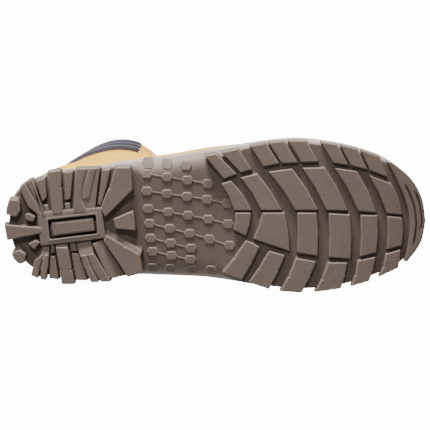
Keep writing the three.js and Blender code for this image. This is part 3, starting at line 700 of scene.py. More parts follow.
# Pairs of lugs that share a root: its outline and how far its face lies above the tread's.
JOINED_LUGS = [
    ([[-102.3, -34.9], [-84.6, -36], [-86.6, -22], [-88.6, -4.5], [-104.8, -3], [-103.2, -20]], 1.0),
    ([[-141.5, -23.2], [-135.6, -27], [-131, -14], [-125.5, -1.6], [-131, -1.4], [-137, -9.5]], 1.0),
    ([[-126.6, 26], [-128.5, 38], [-132, 44.2], [-133.5, 42], [-131, 31]], 1.2),
    ([[-97.5, 27], [-91, 27], [-80.5, 46.8], [-90, 47], [-95.5, 36]], 1.2),
]
LOW_HEEL_LUGS = [
    [[-131.5, -26], [-125, -28.5], [-124, -14], [-127, -11]],
    [[-126.5, -8.5], [-123.2, -8.5], [-121.8, -1], [-123.8, -0.8]],
    [[-110.5, -32.5], [-104.5, -33.5], [-106.5, -13], [-110.5, -12]],
    [[-110.5, -10], [-107, -10], [-106.6, -3.5], [-110.2, -3.5]],
    [[-121.5, 29.5], [-118.5, 29.5], [-116, 47], [-123, 46]],
    [[-121.2, 19.5], [-119, 19.5], [-118.8, 27.2], [-121.2, 27.2]],
    [[-106, 27.5], [-101.5, 27.5], [-94.5, 47.5], [-103, 47.5]],
    [[-107.5, 19], [-104, 19], [-101.8, 25.8], [-106.4, 25.8]],
    [[-83, -34.5], [-77.5, -34.5], [-80, -22], [-84.5, -8], [-86.5, -9]],
]
# Inner ends of the medial fan and the edges of the diagonal lugs: slopes that rise from the
# face to the level at their inner edge. Two corners on the face, then two on the inner edge.
RAMPS = [
    [[-129.5, 33.5], [-122.9, 29], [-122, 18.8], [-127, 18.8]],
    [[-117.3, 24], [-108.8, 24], [-109, 17.8], [-118, 17.8]],
    [[-99.6, 30], [-89.2, 28.5], [-92.8, 15.2], [-103.2, 17.8]],
    [[-82, 19], [-55.8, 29.5], [-54.3, 24.8], [-81, 9.8]],
    [[-78.5, 46.5], [-90.5, 20], [-83.5, 17.5], [-67.5, 44.5]],
    [[-139.5, 28.5], [-149.8, 28.5], [-149, 25.2], [-144.5, 22.2]],
    [[-143.5, -9.5], [-152.5, -9.5], [-151, -13.8], [-144.5, -13.8]],
]
RAMP_START, RAMP_RISE = 0.12, 4.2
PLATE_POCKET = [[-123, 2.2], [-88, -1.8], [-86.6, 12.2], [-121.8, 16.6]]
PLATE_FRAMES = [   # outline and how far its face lies above the tread's
    ([[-124.6, 0.5], [-86.7, -3.7], [-84.8, 13.3], [-123.3, 18.4]], 0.0),
    ([[-131, -3.2], [-84, -7], [-80.8, 15.6], [-128.5, 21.4]], 0.35),
]
INSERT = [[-120.7, 4.3], [-89.9, 0.8], [-88.7, 10.3], [-119.5, 14.3]]

# Rows of lugs along the forefoot, from the lateral edge to the medial one. Each has the lines that
# its lugs' ends lie on, each lug's places on them (outer from and to, inner from and to), the nicks
# in a lug's sides, and how far those sides bow towards the toe.
FORE_ROWS = [
    {"outer": [[-8, -44.8], [14, -49.7], [36, -54.3], [60, -56.2], [84, -53.8], [104, -49.4],
               [122, -43]],
     "inner": [[7, -28.1], [15.5, -31.8], [28, -35.5], [44, -39.2], [60, -40], [75, -40.7],
               [94, -38.5], [110, -34.8], [125, -28.9]],
     "lugs": [[-8, 0, 6, 15], [4, 16, 18, 26], [25, 36, 34.5, 46], [38.4, 49.4, 47.8, 59.4],
              [52.6, 65.4, 62.2, 74.4], [76.5, 87.6, 85.5, 96.4], [90.6, 102.6, 98.4, 110.4],
              [105.6, 119, 112.6, 125.5]], "nicks": [], "bow": 0},
    {"outer": [[4, -24.4], [18, -28.9], [30, -31.8], [55, -35.5], [79, -36.3], [103, -33.3],
               [128, -23.7]],
     "inner": [[13, -4.9], [75, -5.1], [96, -4.6], [116, -2.9], [137, -0.7]],
     "lugs": [[4, 11, 13.5, 26], [18, 30, 33, 48], [38.5, 55.5, 58, 74.5], [63, 79.2, 80.7, 96.2],
              [86.8, 103, 104.3, 117.5], [112, 128.6, 125.5, 137.2]], "nicks": [], "bow": 1.3},
    {"outer": [[14, -3.2], [74, -3], [98, -1.4], [118, -0.6], [137, 1.5]],
     "inner": [[12, 9], [28, 16.5], [54, 25.2], [75, 28.9], [90, 30.8], [100, 31.1],
               [118, 26.9], [137, 22.2]],
     "lugs": [[14, 25.5, 13, 22], [34, 50, 27.5, 54], [59.5, 73.5, 59.5, 74.5],
              [82.5, 98, 83, 99], [106, 118.5, 106, 118], [126, 137, 126, 137]],
     "nicks": [], "bow": 0.9},
    {"outer": [[22, 17.3], [39, 25.2], [52, 28.9], [74, 33.3], [90, 34.2], [98, 34],
               [118, 30.3], [137, 25.2]],
     "inner": [[4, 41], [20, 47.2], [39, 53.6], [63, 56.4], [92, 53.4], [113, 48.2],
               [135, 38.8]],
     "lugs": [[22, 32, 5, 19], [39, 50.5, 24, 39], [59, 73.5, 47.5, 63], [82.5, 96.5, 73, 92],
              [104.5, 117.5, 100, 113], [125.5, 136, 120.5, 134.5]],
     "nicks": [(1, 0.9), (4, 0.9)], "bow": 0.8},
]
TOE_SIPES = [(0.40, 0.24, 0.80), (0.77, 0.34, 0.68)]  # place across, start and end along
TOE_INNER = [[125, -40.5], [131, -30], [137.2, -16.8], [141.5, -4], [143, 6], [142.8, 16],
             [141.2, 27], [139.2, 34]]

STUD_ROWS = [   # first and last centre, and how many
    ([-51, -30], [-6, -23], 4), ([-51, -17.2], [8.4, -9.2], 5), ([-50, -4], [9, 6], 5),
    ([-49, 7], [10, 22], 5), ([-48.5, 18], [-18.5, 25.5], 3), ([-47, 28], [-19, 34], 3),
]
# Studs on the curved edges of the waist: three lines on the lateral side, one on the medial.
EDGE_STUDS = [(-36, -37), (-22, -36), (-50, -37.2), (-47.5, 40.4), (-34, 41), (-18.1, 41.6),
              (-3.5, 41.6)]
STUD_HALF = (4.2, 3.2)
STUD_RELIEF = 1.2


def line_y(line, x):
    """Place across the sole of a drawn line at x, smooth between its points."""
    table = np.asarray(line, float)
    return sample(table, row_at(table, x))[..., 1]


def ground(x, y):
    """The tread's face."""
    return lift(x)


def in_base(x, y):
    """Where a lug's foot ends, inside the base."""
    return floor_z(x) + ROOT


def level(z):
    """One height everywhere."""
    return lambda x, y: z + 0 * x


def nicked(corners, nicks, half=0.8, depth=0.9):
    """Outline with small notches cut into some sides, each a side's number and a place on it."""
    p = np.asarray(corners, float)
    turn = turning(corners)
    made = []
    for k, start in enumerate(p):
        made.append(start)
        way = p[(k + 1) % len(p)] - start
        length = np.linalg.norm(way)
        way /= length
        inwards = turn * np.array([-way[1], way[0]])
        for place in (share for side, share in nicks if side == k):
            made += [start + way * (place * length + shift) + inwards * cut
                     for shift, cut in ((-half, 0), (0, depth), (half, 0))]
    return made


def row_lug(row, places):
    """Corners of one slanted lug between its row's two lines, its sides bowed towards the toe."""
    outer0, outer1, inner0, inner1 = places
    a, b, c, d = (np.array([x, line_y(row[edge], x)]) for edge, x in (
        ("outer", outer0), ("outer", outer1), ("inner", inner1), ("inner", inner0)))
    bowed = np.array([row["bow"], 0.0])
    corners = [a, b]
    corners += [mix(b, c, 0.5) + bowed] if row["bow"] else []
    corners += [c, d]
    corners += [mix(d, a, 0.5) + bowed] if row["bow"] else []
    return nicked(corners, row["nicks"])


def toe_crescent(body, steps=46):
    """Wide curved lug round the toe, with two curved sipes that fade out at their ends: a section
    across it, with sloping sides, bevels and the sipes' dips, carried along its length."""
    inner = sample(np.asarray(TOE_INNER, float), np.linspace(0, len(TOE_INNER) - 1, steps))
    first, last = row_at(SOLE, 126), row_at(SOLE, 140)
    half = steps * 3 // 5
    lateral = inset_edge(np.linspace(first, SOLE_ROWS, half, endpoint=False), -1, 0.3)
    medial = inset_edge(np.linspace(SOLE_ROWS, last, steps - half), 1, 0.3)
    outer = np.concatenate([lateral, medial])
    across = outer - inner
    width = np.linalg.norm(across, axis=1)
    across /= width[:, None]
    draft, bevel = 0.8, 0.6
    t = np.linspace(0, 1, steps)
    # Places of the section: share of the width and distance from there, height above the tread's
    # face, or none at the foot, and depth of a sipe along the lug.
    section = [(0, -draft, None, 0), (0, -0.1, bevel, 0), (0, 0.3 * bevel, 0.3 * bevel, 0),
               (0, bevel, 0, 0)]
    for middle, start, end in TOE_SIPES:
        deep = 2.8 * smoothstep(t, start, start + 0.05) * (1 - smoothstep(t, end - 0.05, end))
        section += [(middle, -0.8, 0, 0), (middle, -0.35, 0, deep), (middle, 0.35, 0, deep),
                    (middle, 0.8, 0, 0)]
    section += [(1, -bevel, 0, 0), (1, -0.3 * bevel, 0.3 * bevel, 0), (1, 0.1, bevel, 0),
                (1, 0.4 * draft, None, 0)]
    ends = np.clip(np.minimum(t, 1 - t) * (steps - 1), 0, 1)
    lines, marks = [], []
    for share, offset, above, dip in section:
        plan = inner + across * (share * width + offset)[:, None]
        x = plan[:, 0]
        z = foot = floor_z(x) + ROOT
        if above is not None:
            z = mix(foot, lift(x) + above + dip, ends)
        lines.append(np.stack([x, plan[:, 1], z], -1))
        # Values for the rubber's colour: 0 at the feet and in the sipes' deep middles gives painted
        # shade, 1 on the face.
        marks.append(np.where(dip + 0 * t > 1, 0.0, float(above is not None)))
    grid = np.array(lines).transpose(1, 0, 2)
    body.add(grid, capped_faces(steps, grid.shape[1]), np.array(marks).T.ravel())


def hexagon(centre):
    """Six corners of a stud, pointed towards heel and toe."""
    hx, hy = STUD_HALF
    flat = 0.62 * hx
    shape = np.array([[-hx, 0], [-flat, -hy], [flat, -hy], [hx, 0], [flat, hy], [-flat, hy]])
    return shape + centre


# Sidewall, from the tread up: inset from the edge and share of its height, each with its value in
# the waist where that differs. Two fine grooves run round it below its rounded top.
SIDEWALL = [
    ((4.5, 17), (0, 0)), ((2.9, 13), (0, 0.01)), ((2.2, 9.5), (0.06, 0.05)),
    ((1.7, 6.2), (0.2, 0.13)), ((1.1, 3.6), (0.4, 0.26)), ((0.4, 1.6), (0.52, 0.42)),
    ((0.2, 0.5), (0.6, 0.6)), ((0.1,), (0.68,)), ((0.75,), (0.695,)), ((0.75,), (0.725,)),
    ((0.1,), (0.74,)), ((0.0,), (0.84,)), ((0.1,), (0.93,)), ((0.5,), (0.985,)),
    ((1.1,), (1.0,)), ((RIM_WIDTH - 0.6,), (1.0,)), ((RIM_WIDTH,), (0.98,)),
]


def waist_share(x):
    """1 in the waist and 0 outside it, with a smooth change between."""
    return smoothstep(x, -70, -50) * (1 - smoothstep(x, -6, 22))


def slope(corners):
    """Height that grows evenly from the middle of a ramp's first side to that of its third."""
    edge = np.array(corners, float)
    origin = (edge[0] + edge[1]) / 2
    way = (edge[2] + edge[3]) / 2 - origin

    def height(x, y):
        t = ((x - origin[0]) * way[0] + (y - origin[1]) * way[1]) / (way @ way)
        return RAMP_START + RAMP_RISE * np.clip(t, 0, None)
    return height


def make_outsole():
    """Cup of rubber with a grooved sidewall, and every lug, stud and bar of the tread."""
    body = Body()

    def wall(share, in_waist=None):
        """Height over x: a share of the sidewall, which has another value in the waist."""
        change = (share if in_waist is None else in_waist) - share
        return lambda x: mix(floor_z(x), feather_z(x), share + change * waist_share(x))

    def at(inset, in_waist=None):
        """Inset over x, which has another value in the waist."""
        change = (inset if in_waist is None else in_waist) - inset
        return lambda x, side=1: inset + change * waist_share(x)

    def leaning(inset, share):
        """Inset that also grows with the share of the height, most on the heel's lateral side."""
        base = at(*inset)

        def inset_at(x, side):
            """Inset on one side of the sole."""
            heel = smoothstep(-x, 65, 95) * smoothstep(x, -154, -140)
            return base(x) + share * (0.5 + (1 - side) * 1.45 * heel)
        return inset_at

    rings = [(leaning(inset, share[0]) if inset[0] < 5 else at(*inset), wall(*share))
             for inset, share in SIDEWALL]
    rings += [(at(RIM_WIDTH), lambda x: floor_z(x) + WEB)]
    # Values for the rubber's colour: 0.2 at the base gives painted shade, and values over 1 up the
    # sidewall paint painted light towards the rim.
    stacked(body, rings, lambda k: 0.2 if k < 2 else min(1.9, 0.5 + 0.25 * k))
    for number, corners in enumerate(HEEL_LUGS):
        block(body, nicked(corners, HEEL_NICKS.get(number, [])), ground, in_base)
    for corners, above in JOINED_LUGS:
        block(body, corners, level(above), in_base, bevel=0.4)
    for corners in LOW_HEEL_LUGS:
        block(body, corners, level(LOW_LUG_DROP), in_base, bevel=0.5)
    for corners in RAMPS:
        block(body, corners, slope(corners), in_base, draft=0.5, bevel=0.35, radius=0.6)
    for row in FORE_ROWS:
        for places in row["lugs"]:
            block(body, row_lug(row, places), ground, in_base, radius=0.8)
    toe_crescent(body)
    for start, end, count in STUD_ROWS:
        centres = mix(np.array(start, float), np.array(end, float),
                      np.linspace(0, 1, count)[:, None])
        for centre in centres:
            stud(body, centre)
        for a, b in zip(centres[:-1], centres[1:]):
            bar(body, a, b)
    for centre in EDGE_STUDS:
        stud(body, centre)
    plate(body)
    moulded(body, "outsole_tread", "outsole")


def moulded(body, name, node):
    """Rubber piece of the boot from a body's blocks."""
    thing = make_object(name, np.concatenate(body.points), body.faces, RUBBER, sharp=38,
                        mark=np.concatenate(body.marks), weld=False)
    dress(thing, "boot", "tread_rubber", node)


def under(x, y):
    """Height of the waist's underside, which curves up towards both its edges."""
    rows = row_at(SOLE, x)
    near = np.minimum(y - outline(rows, -1)[..., 1], outline(rows, 1)[..., 1] - y)
    insets = [values[0][-1] for values in SIDEWALL[:7]]
    shares = [values[1][-1] for values in SIDEWALL[:7]]
    rise = np.interp(near, insets[::-1], shares[::-1]) * waist_share(x)
    return mix(floor_z(x), feather_z(x), rise)


def off_waist(z):
    """Height over x and y at a distance from the waist's underside."""
    return lambda x, y: under(x, y) + z


def stud(body, centre):
    """Low stud; its relief is less on the curved edges, where the rubber turns up."""
    turned = under(*centre) - floor_z(centre[0])
    relief = STUD_RELIEF * (1 - 0.6 * smoothstep(turned, 0.3, 3))
    block(body, hexagon(np.array(centre)), off_waist(-relief), off_waist(ROOT), draft=0.9,
          bevel=0.5 * relief / STUD_RELIEF, radius=0.5)


def bar(body, a, b):
    """Thin raised bar between two studs."""
    way = (b - a) / np.linalg.norm(b - a)
    across = np.array([-way[1], way[0]]) * 0.55
    start, end = a + way * STUD_HALF[0] * 0.9, b - way * STUD_HALF[0] * 0.9
    block(body, [start - across, end - across, end + across, start + across], off_waist(-0.6),
          off_waist(ROOT), draft=0.3, bevel=0.2, radius=0.2, margin=0.1)


def plate(body):
    """Heel's centre plate: a thin rim round the pocket of the insert, and a wide frame almost
    flush with it. Each is a section with bevelled edges carried round both outlines."""
    inner = np.array(PLATE_POCKET, float)
    for outer, above in PLATE_FRAMES:
        foot = HEEL_LUG + ROOT
        levels = [(outer, -0.6, foot), (outer, 0.0, above + 0.5), (outer, 0.2, above + 0.15),
                  (outer, 0.6, above), (inner, -0.8, above), (inner, -0.2, above + 0.15),
                  (inner, 0.0, above + 0.5), (inner, 0.0, foot)]
        rings = []
        for loop, move, z in levels:
            plan = rounded(inward(loop, move), 1.2)
            rings.append(np.concatenate([plan, np.full((len(plan), 1), z)], 1))
        n = len(rings[0])
        # Values for the rubber's colour: 0 at the feet gives painted shade, 1.6 on the bevels a
        # painted highlight.
        body.add(np.array(rings), grid_faces(len(rings), n, wrap=True, close=True),
                 np.repeat([0, 1, 1.6, 1, 1, 1.6, 0.7, 0], n))


def make_insert():
    """Rubber block in the heel's pocket, crowned, with a moulded step round its edge."""
    body = Body()
    block(body, INSERT, level(0.9), level(HEEL_LUG - 3.6), draft=0.1, bevel=0.8, radius=1.2)
    middle = np.mean(INSERT, axis=0)
    inner = middle + (np.array(INSERT) - middle) * 0.8
    block(body, inner, level(0.55), level(2.0), draft=0.1, bevel=0.3, radius=0.8)
    moulded(body, "heel_insert_block", "heel_insert")


# ------------------------------------------------------------------ the upper's surface
def upper_point(u, theta):
    """Outer face of the upper. Section u fans round the instep; theta runs from 0 on the ridge
    to pi at the bottom or back, negative on the lateral side. Each section is a superellipse."""
    u, theta = np.broadcast_arrays(np.asarray(u, float), np.asarray(theta, float))
    xt, zt, xb, zb, lateral, medial = np.moveaxis(sample(UPPER, u), -1, 0)
    turned = theta - 2 * np.pi * np.round(theta / (2 * np.pi))
    shaft = smoothstep(u, THROAT, 15)
    widest = mix(0.66, 0.45, shaft)
    c = np.cos(turned)
    power = np.where(c > 0, 2 / mix(2.25, 2.05, shaft), 2 / mix(3.2, 1.8, shaft))
    reach = np.abs(c) ** power
    h = np.where(c > 0, widest * (1 - reach), widest + (1 - widest) * reach)
    spread = np.abs(np.sin(turned)) ** power
    middle = mix(RIDGE_Y, (lateral + medial) / 2, h)
    y = np.where(turned < 0, middle - spread * (middle - lateral),
                 middle + spread * (medial - middle))
    return np.stack([mix(xt, xb, h), y, mix(zt, zb, h)], -1)


def upper_normal(u, theta):
    """Outward normal, from differences along both parameters."""
    step = 0.02
    along_u = (upper_point(np.minimum(u + step, TOP_ROW), theta)
               - upper_point(np.maximum(u - step, 0), theta))
    along_t = upper_point(u, theta + step) - upper_point(u, theta - step)
    normal = np.cross(along_t, along_u)
    length = np.linalg.norm(normal, axis=-1, keepdims=True)
    return np.where(length > 1e-9, normal / np.maximum(length, 1e-9), np.array([1.0, 0, 0]))


def upper_at(u, theta, depth):
    """Point of the upper at a depth along its normal; positive depths stand proud."""
    u, theta, depth = np.broadcast_arrays(u, theta, depth)
    return upper_point(u, theta) + upper_normal(u, theta) * depth[..., None]


def angle_where(u, side, depth, start, end, test):
    """Angle on one side at which a test first holds, by halving for every section at once."""
    u = np.asarray(u, float)
    low, high = np.full(u.shape, start), np.full(u.shape, end)
    never = ~test(upper_at(u, side * high, depth))
    for _ in range(26):
        mid = (low + high) / 2
        found = test(upper_at(u, side * mid, depth))
        low, high = np.where(found, low, mid), np.where(found, mid, high)
    return side * np.where(never, end, high)


NEARLY_ROUND = np.pi - 0.02


def at_sole(side):
    """Angle over rows and depth at which a section comes down to the sole's rim."""
    return lambda u, depth=0.0: angle_where(
        u, side, depth, 0.5, NEARLY_ROUND, lambda p: p[..., 2] < feather_z(p[..., 0]) + GAP)


def at_side(side, distance):
    """Angle over rows and depth at which a section is a distance from the ridge, seen from the
    front."""
    return lambda u, depth=0.0: angle_where(
        u, side, depth, 0.0, np.pi * 0.6, lambda p: np.abs(p[..., 1] - RIDGE_Y) > distance)


def beyond(start, side, distance):
    """Angle a distance further round each section than another, along the surface: the lengths
    of its small chords are summed, and the angle is read off where the sum reaches it."""
    def angle(u, depth=0.0):
        u = np.asarray(u, float)
        first = start(u, 0.0)
        theta = first[..., None] + side * np.linspace(0, 2.4, 160)
        points = upper_point(u[..., None], theta)
        length = np.cumsum(np.linalg.norm(np.diff(points, axis=-2), axis=-1), axis=-1)
        length = np.concatenate([np.zeros_like(length[..., :1]), length], -1)
        flat = [np.interp(distance, l, t) for l, t in
                zip(length.reshape(-1, 160), theta.reshape(-1, 160))]
        return np.array(flat).reshape(u.shape)
    return angle


def front(side):
    """The facing's front edge."""
    return at_side(side, FACING_HALF_GAP)


def facing_back(side, more=0.0):
    """The facing's rear edge, or more beyond it."""
    return beyond(front(side), side, FACING_WIDTH + more)


def spaced(count, edge):
    """Places from 0 to 1, evenly spaced but crowded in the last edge share at both ends."""
    ends = edge * np.array([0, 0.08, 0.3, 0.6])
    return np.concatenate([ends, np.linspace(edge, 1 - edge, count), 1 - ends[::-1]])


def seam_rows(row):
    """Half a seam's clearance, in rows."""
    length = np.linalg.norm(upper_point(row + 0.5, np.pi / 2) - upper_point(row - 0.5, np.pi / 2))
    return GAP / length


def patch_map(points):
    """Lengths across and along a grid of points, in metres, for its weave or grain."""
    across = np.linalg.norm(np.diff(points, axis=1), axis=-1).cumsum(1)
    across = np.concatenate([np.zeros_like(across[:, :1]), across], 1)
    middle = points[:, points.shape[1] // 2]
    along = np.concatenate([[0], np.linalg.norm(np.diff(middle, axis=0), axis=-1).cumsum()])
    return np.stack([across, np.broadcast_to(along[:, None], across.shape)], -1) * MM


EDGE_SHARE = 0.02        # share of a patch that its rolled edge takes up


def leather_patch(name, material, u0, u1, start, end, outer, inner, nu=60, nt=60, roll=0.7,
                  relief=None, roll_ends=True):
    """Closed shell over a patch of the upper, from one depth to another: rows run from u0 to u1,
    and angles from start to end, which are both over rows and depth. Its outer face rolls over at
    the edges: the depth falls there along a quarter circle. relief adds to the depth."""
    s = spaced(nu, EDGE_SHARE) if roll_ends else np.linspace(0, 1, nu)
    t = spaced(nt, EDGE_SHARE)
    u = np.broadcast_to(mix(u0, u1, s)[:, None], (len(s), len(t)))

    def surface(depth):
        """Angles of the patch at one depth."""
        first = start(u[:, 0], depth)[:, None]
        last = end(u[:, 0], depth)[:, None]
        return mix(first, last, t[None, :])

    edge_s = np.minimum(s, 1 - s)[:, None] / EDGE_SHARE if roll_ends else np.ones((len(s), 1))
    edge_t = np.minimum(t, 1 - t)[None, :] / EDGE_SHARE
    near = np.clip(np.minimum(edge_s, edge_t), 0, 1)
    drop = roll * (1 - np.sqrt(1 - (1 - near) ** 2))
    theta = surface(outer)
    lifted = outer - drop + (relief(u, theta) if relief else 0.0)
    face = upper_at(u, theta, lifted)
    back = upper_at(u, surface(inner), np.full(u.shape, inner))
    points = np.concatenate([face.reshape(-1, 3), back.reshape(-1, 3)])
    uv = patch_map(face).reshape(-1, 2)
    return make_object(name, points, shell_faces(len(s), len(t)), material,
                       uv=np.concatenate([uv, uv]), sharp=50)


def flex_creases(u, theta):
    """Soft creases across the vamp behind the toe cap, fading down the sides, and a gentle
    waviness of the leather."""
    zone = np.exp(-((u - 6.4) / 0.9) ** 2) * np.cos(np.clip(theta, -1.4, 1.4)) ** 2
    fold = np.sin(u * 9.0 + 0.8 * np.sin(theta * 2.0)) + 0.5 * np.sin(u * 17 + theta * 3)
    wave = np.sin(u * 2.3 + theta * 1.7) * np.sin(theta * 2.9 - u * 0.8)
    return 0.42 * zone * fold + 0.22 * wave * smoothstep(u, 0.4, 2.0)


def soft_wave(u, theta):
    """Gentle unevenness of lasted leather."""
    return 0.25 * np.sin(u * 2.1 + theta * 2.3) * np.sin(theta * 3.7 - u * 1.3)


def dress(thing, body, slot, *nodes):
    """Says which body a piece rides on and hides the nodes that it stands for. slot is not used."""
    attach(thing, body)
    if nodes:
        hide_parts(*nodes)
    return thing


def make_vamp():
    """Leather over the toes and instep, from the sole's rim on one side to that on the other."""
    thing = leather_patch("vamp_leather", NUBUCK, 0.0, THROAT - seam_rows(THROAT), at_sole(-1),
                          at_sole(1), 0.0, -LEATHER, nu=110, nt=110, relief=flex_creases,
                          roll_ends=False)
    dress(thing, "boot", "nubuck", "vamp")


def quarter_bottom(side):
    """Angle at which a quarter ends: at the sole's rim, or just short of the heel's middle."""
    def angle(u, depth=0.0):
        low = np.abs(at_sole(side)(u, depth))
        return side * np.where(low > NEARLY_ROUND - 0.01, np.pi - 0.004, low)
    return angle


def make_quarter(word, side):
    """Leather on one side of the shaft, from the facing to the sole's rim and the heel's seam."""
    thing = leather_patch(f"quarter_{word}_leather", NUBUCK, THROAT + seam_rows(THROAT),
                          COLLAR_ROW + TUCK, facing_back(side, GAP), quarter_bottom(side), 0.0,
                          -LEATHER, nu=90, nt=60, relief=soft_wave)
    dress(thing, "boot", "nubuck", f"quarter_{word}")


def eyelet_rows(side):
    """Rows of the eyelets: evenly spaced along the facing."""
    u = np.linspace(THROAT, TOP_ROW, 81)
    points = upper_point(u, beyond(front(side), side, EYELET_INSET)(u))
    length = np.concatenate([[0], np.linalg.norm(np.diff(points, axis=0), axis=1).cumsum()])
    return np.interp(np.linspace(EYELET_EDGE, length[-1] - EYELET_EDGE, EYELETS), length, u)


def lathe(profile, sides, foot, axis):
    """Ring turned from a closed profile of (radius, height) about an axis at foot."""
    axis = axis / np.linalg.norm(axis)
    across = np.cross(axis, [0.3, 1.0, 0.2])
    across /= np.linalg.norm(across)
    other = np.cross(axis, across)
    angle = np.linspace(0, 2 * np.pi, sides, endpoint=False)
    radial = np.cos(angle)[:, None] * across + np.sin(angle)[:, None] * other
    profile = np.asarray(profile, float)
    return (foot + profile[None, :, :1] * radial[:, None] + profile[None, :, 1:] * axis)


FACING_THICK = FACING_PROUD + LEATHER
# Sections from an eyelet's axis, as radius and height above the leather's inner face.
EYELET_SECTION = [
    [2.4, -0.2], [3.05, -0.2], [3.1, FACING_THICK + 0.3], [3.9, FACING_THICK + 0.42],
    [4.9, FACING_THICK + 0.34], [5.2, FACING_THICK + 0.5], [5.1, FACING_THICK + 0.85],
    [4.3, FACING_THICK + 1.15], [3.3, FACING_THICK + 1.12], [2.6, FACING_THICK + 0.8],
    [2.4, FACING_THICK + 0.3]]
EYELET_HOLE = [[3.4, -6.0], [3.4, 10.0]]


def make_facing(word, side):
    """Eyestay with a hole cut for each eyelet, and the eyelets: rings turned about the leather's
    normal."""
    rows = eyelet_rows(side)
    theta = beyond(front(side), side, EYELET_INSET)(rows)
    feet = upper_at(rows, theta, np.full(rows.shape, -LEATHER))
    heads = upper_at(rows, theta, np.full(rows.shape, FACING_PROUD))
    thing = leather_patch(f"eyestay_{word}_leather", NUBUCK, THROAT + seam_rows(THROAT),
                          TOP_ROW, front(side), facing_back(side), FACING_PROUD, -LEATHER,
                          nu=90, nt=26, roll=0.8)
    cuts, rings = Body(), Body()
    around = 24
    after = np.roll(np.arange(around), -1)
    for foot, head in zip(feet, heads):
        rings.add(lathe(EYELET_SECTION, around, foot, head - foot),
                  grid_faces(around, len(EYELET_SECTION), wrap=True, close=True))
        low = 2 * np.arange(around)
        walls = np.stack([low, 2 * after, 2 * after + 1, low + 1], -1).tolist()
        cuts.add(lathe(EYELET_HOLE, around, foot, head - foot),
                 walls + [low.tolist()[::-1], (low + 1).tolist()])
    cutter = make_object("cutter", np.concatenate(cuts.points), cuts.faces, NUBUCK)
    hole = thing.modifiers.new("eyelet_holes", "BOOLEAN")
    hole.object = cutter
    hole.operation = "DIFFERENCE"
    hole.solver = "EXACT"
    apply_modifiers(thing)
    bpy.data.objects.remove(cutter)
    dress(thing, "boot", "nubuck", f"eyestay_{word}")
    eyelets = make_object(f"eyelets_{word}", np.concatenate(rings.points), rings.faces, EYELET,
                          sharp=60, weld=False)
    dress(eyelets, "boot", "eyelet_metal",
          *[f"eyelet_{word}_{k + 1}" for k in range(EYELETS)])


def apply_modifiers(thing):
    """Gives a piece the mesh that its modifiers make, and drops them."""
    graph = bpy.context.evaluated_depsgraph_get()
    finished = bpy.data.meshes.new_from_object(thing.evaluated_get(graph))
    thing.modifiers.clear()
    thing.data = finished


BACKSTAY_START = 12.55
BACKSTAY_OUT = LEATHER * 0.75 + GAP


def backstay_edge(side, inset=0.0):
    """Angle of the backstay's edge: it narrows smoothly up the heel."""
    def angle(u, depth=0.0):
        return np.pi + side * (mix(34, 15, smoothstep(u, 12, 15)) / 60 - inset)
    return angle


def make_backstay():
    """Strip of leather over the seam at the back of the heel."""
    thing = leather_patch("backstay_leather", NUBUCK, BACKSTAY_START, COLLAR_ROW + TUCK,
                          backstay_edge(-1), backstay_edge(1), BACKSTAY_OUT, GAP, nu=60, nt=30,
                          roll=0.6)
    dress(thing, "boot", "nubuck", "backstay")


# ------------------------------------------------------------------ linings, tongue, footbed
CAP_OUT = -LEATHER - LAYER_GAP
LINING_OUT = CAP_OUT - CAP_WALL - LAYER_GAP
LINING_IN = LINING_OUT - LINING_THICK
TONGUE_OUT = -LEATHER - GAP
TONGUE_IN = TONGUE_OUT - TONGUE_THICK
GUSSET = 7.0


def make_linings():
    """Cloth linings of the vamp and of both sides of the shaft."""
    thing = leather_patch("vamp_lining_cloth", LINING, 0.35, THROAT - seam_rows(THROAT),
                          at_sole(-1), at_sole(1), LINING_OUT, LINING_IN, nu=40, nt=50, roll=0.2)
    dress(thing, "boot", "lining_textile", "vamp_lining")
    for name, side, nodes in (("shaft_lining_cloth", 1, ["shaft_lining"]),
                              ("shaft_lining_cloth_lateral", -1, [])):
        thing = leather_patch(name, LINING, THROAT + seam_rows(THROAT), COLLAR_ROW + 2 * TUCK,
                              at_side(side, FACING_HALF_GAP + 2), quarter_bottom(side),
                              LINING_OUT, LINING_IN, nu=50, nt=40, roll=0.2)
        dress(thing, "boot", "lining_textile", *nodes)


TONGUE_START = THROAT + 0.12


def make_tongue():
    """Tongue of the collar's textile, quilted in three channels, with a padded lining."""
    def quilt(u, theta):
        """Relief: a power of the size of a sine wave along the tongue."""
        share = (u - TONGUE_START) / (TOP_ROW - TONGUE_START)
        return 0.35 * np.abs(np.sin(3 * np.pi * share)) ** 0.6
    thing = leather_patch("tongue_cloth", COLLAR, TONGUE_START, TOP_ROW,
                          at_side(-1, TONGUE_HALF), at_side(1, TONGUE_HALF), TONGUE_OUT - 0.3,
                          TONGUE_IN, nu=60, nt=30, roll=0.6, relief=quilt)
    dress(thing, "tongue", "collar_textile", "tongue")
    half = TONGUE_HALF - 3
    out = TONGUE_IN - 2.5 * GAP
    pad = rolled_pad("tongue_pad", LINING, TONGUE_START + 0.8, TOP_ROW - 0.15,
                     at_side(-1, half), at_side(1, half), out, out - TONGUE_PAD, 1, 40, 20, 0.0)
    dress(pad, "tongue", "lining_textile", "tongue_padding")


def make_gussets():
    """Thin cloth between each edge of the tongue and the facing."""
    inner = TONGUE_HALF + GAP
    for word, side in (("lateral", -1), ("medial", 1)):
        thing = leather_patch(f"gusset_{word}_cloth", LINING, TONGUE_START, COLLAR_ROW - 0.5,
                              at_side(side, inner), at_side(side, inner + GUSSET),
                              TONGUE_OUT - GAP, TONGUE_OUT - GAP - 1, nu=40, nt=12, roll=0.1)
        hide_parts(f"gusset_{word}")
        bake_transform(thing)


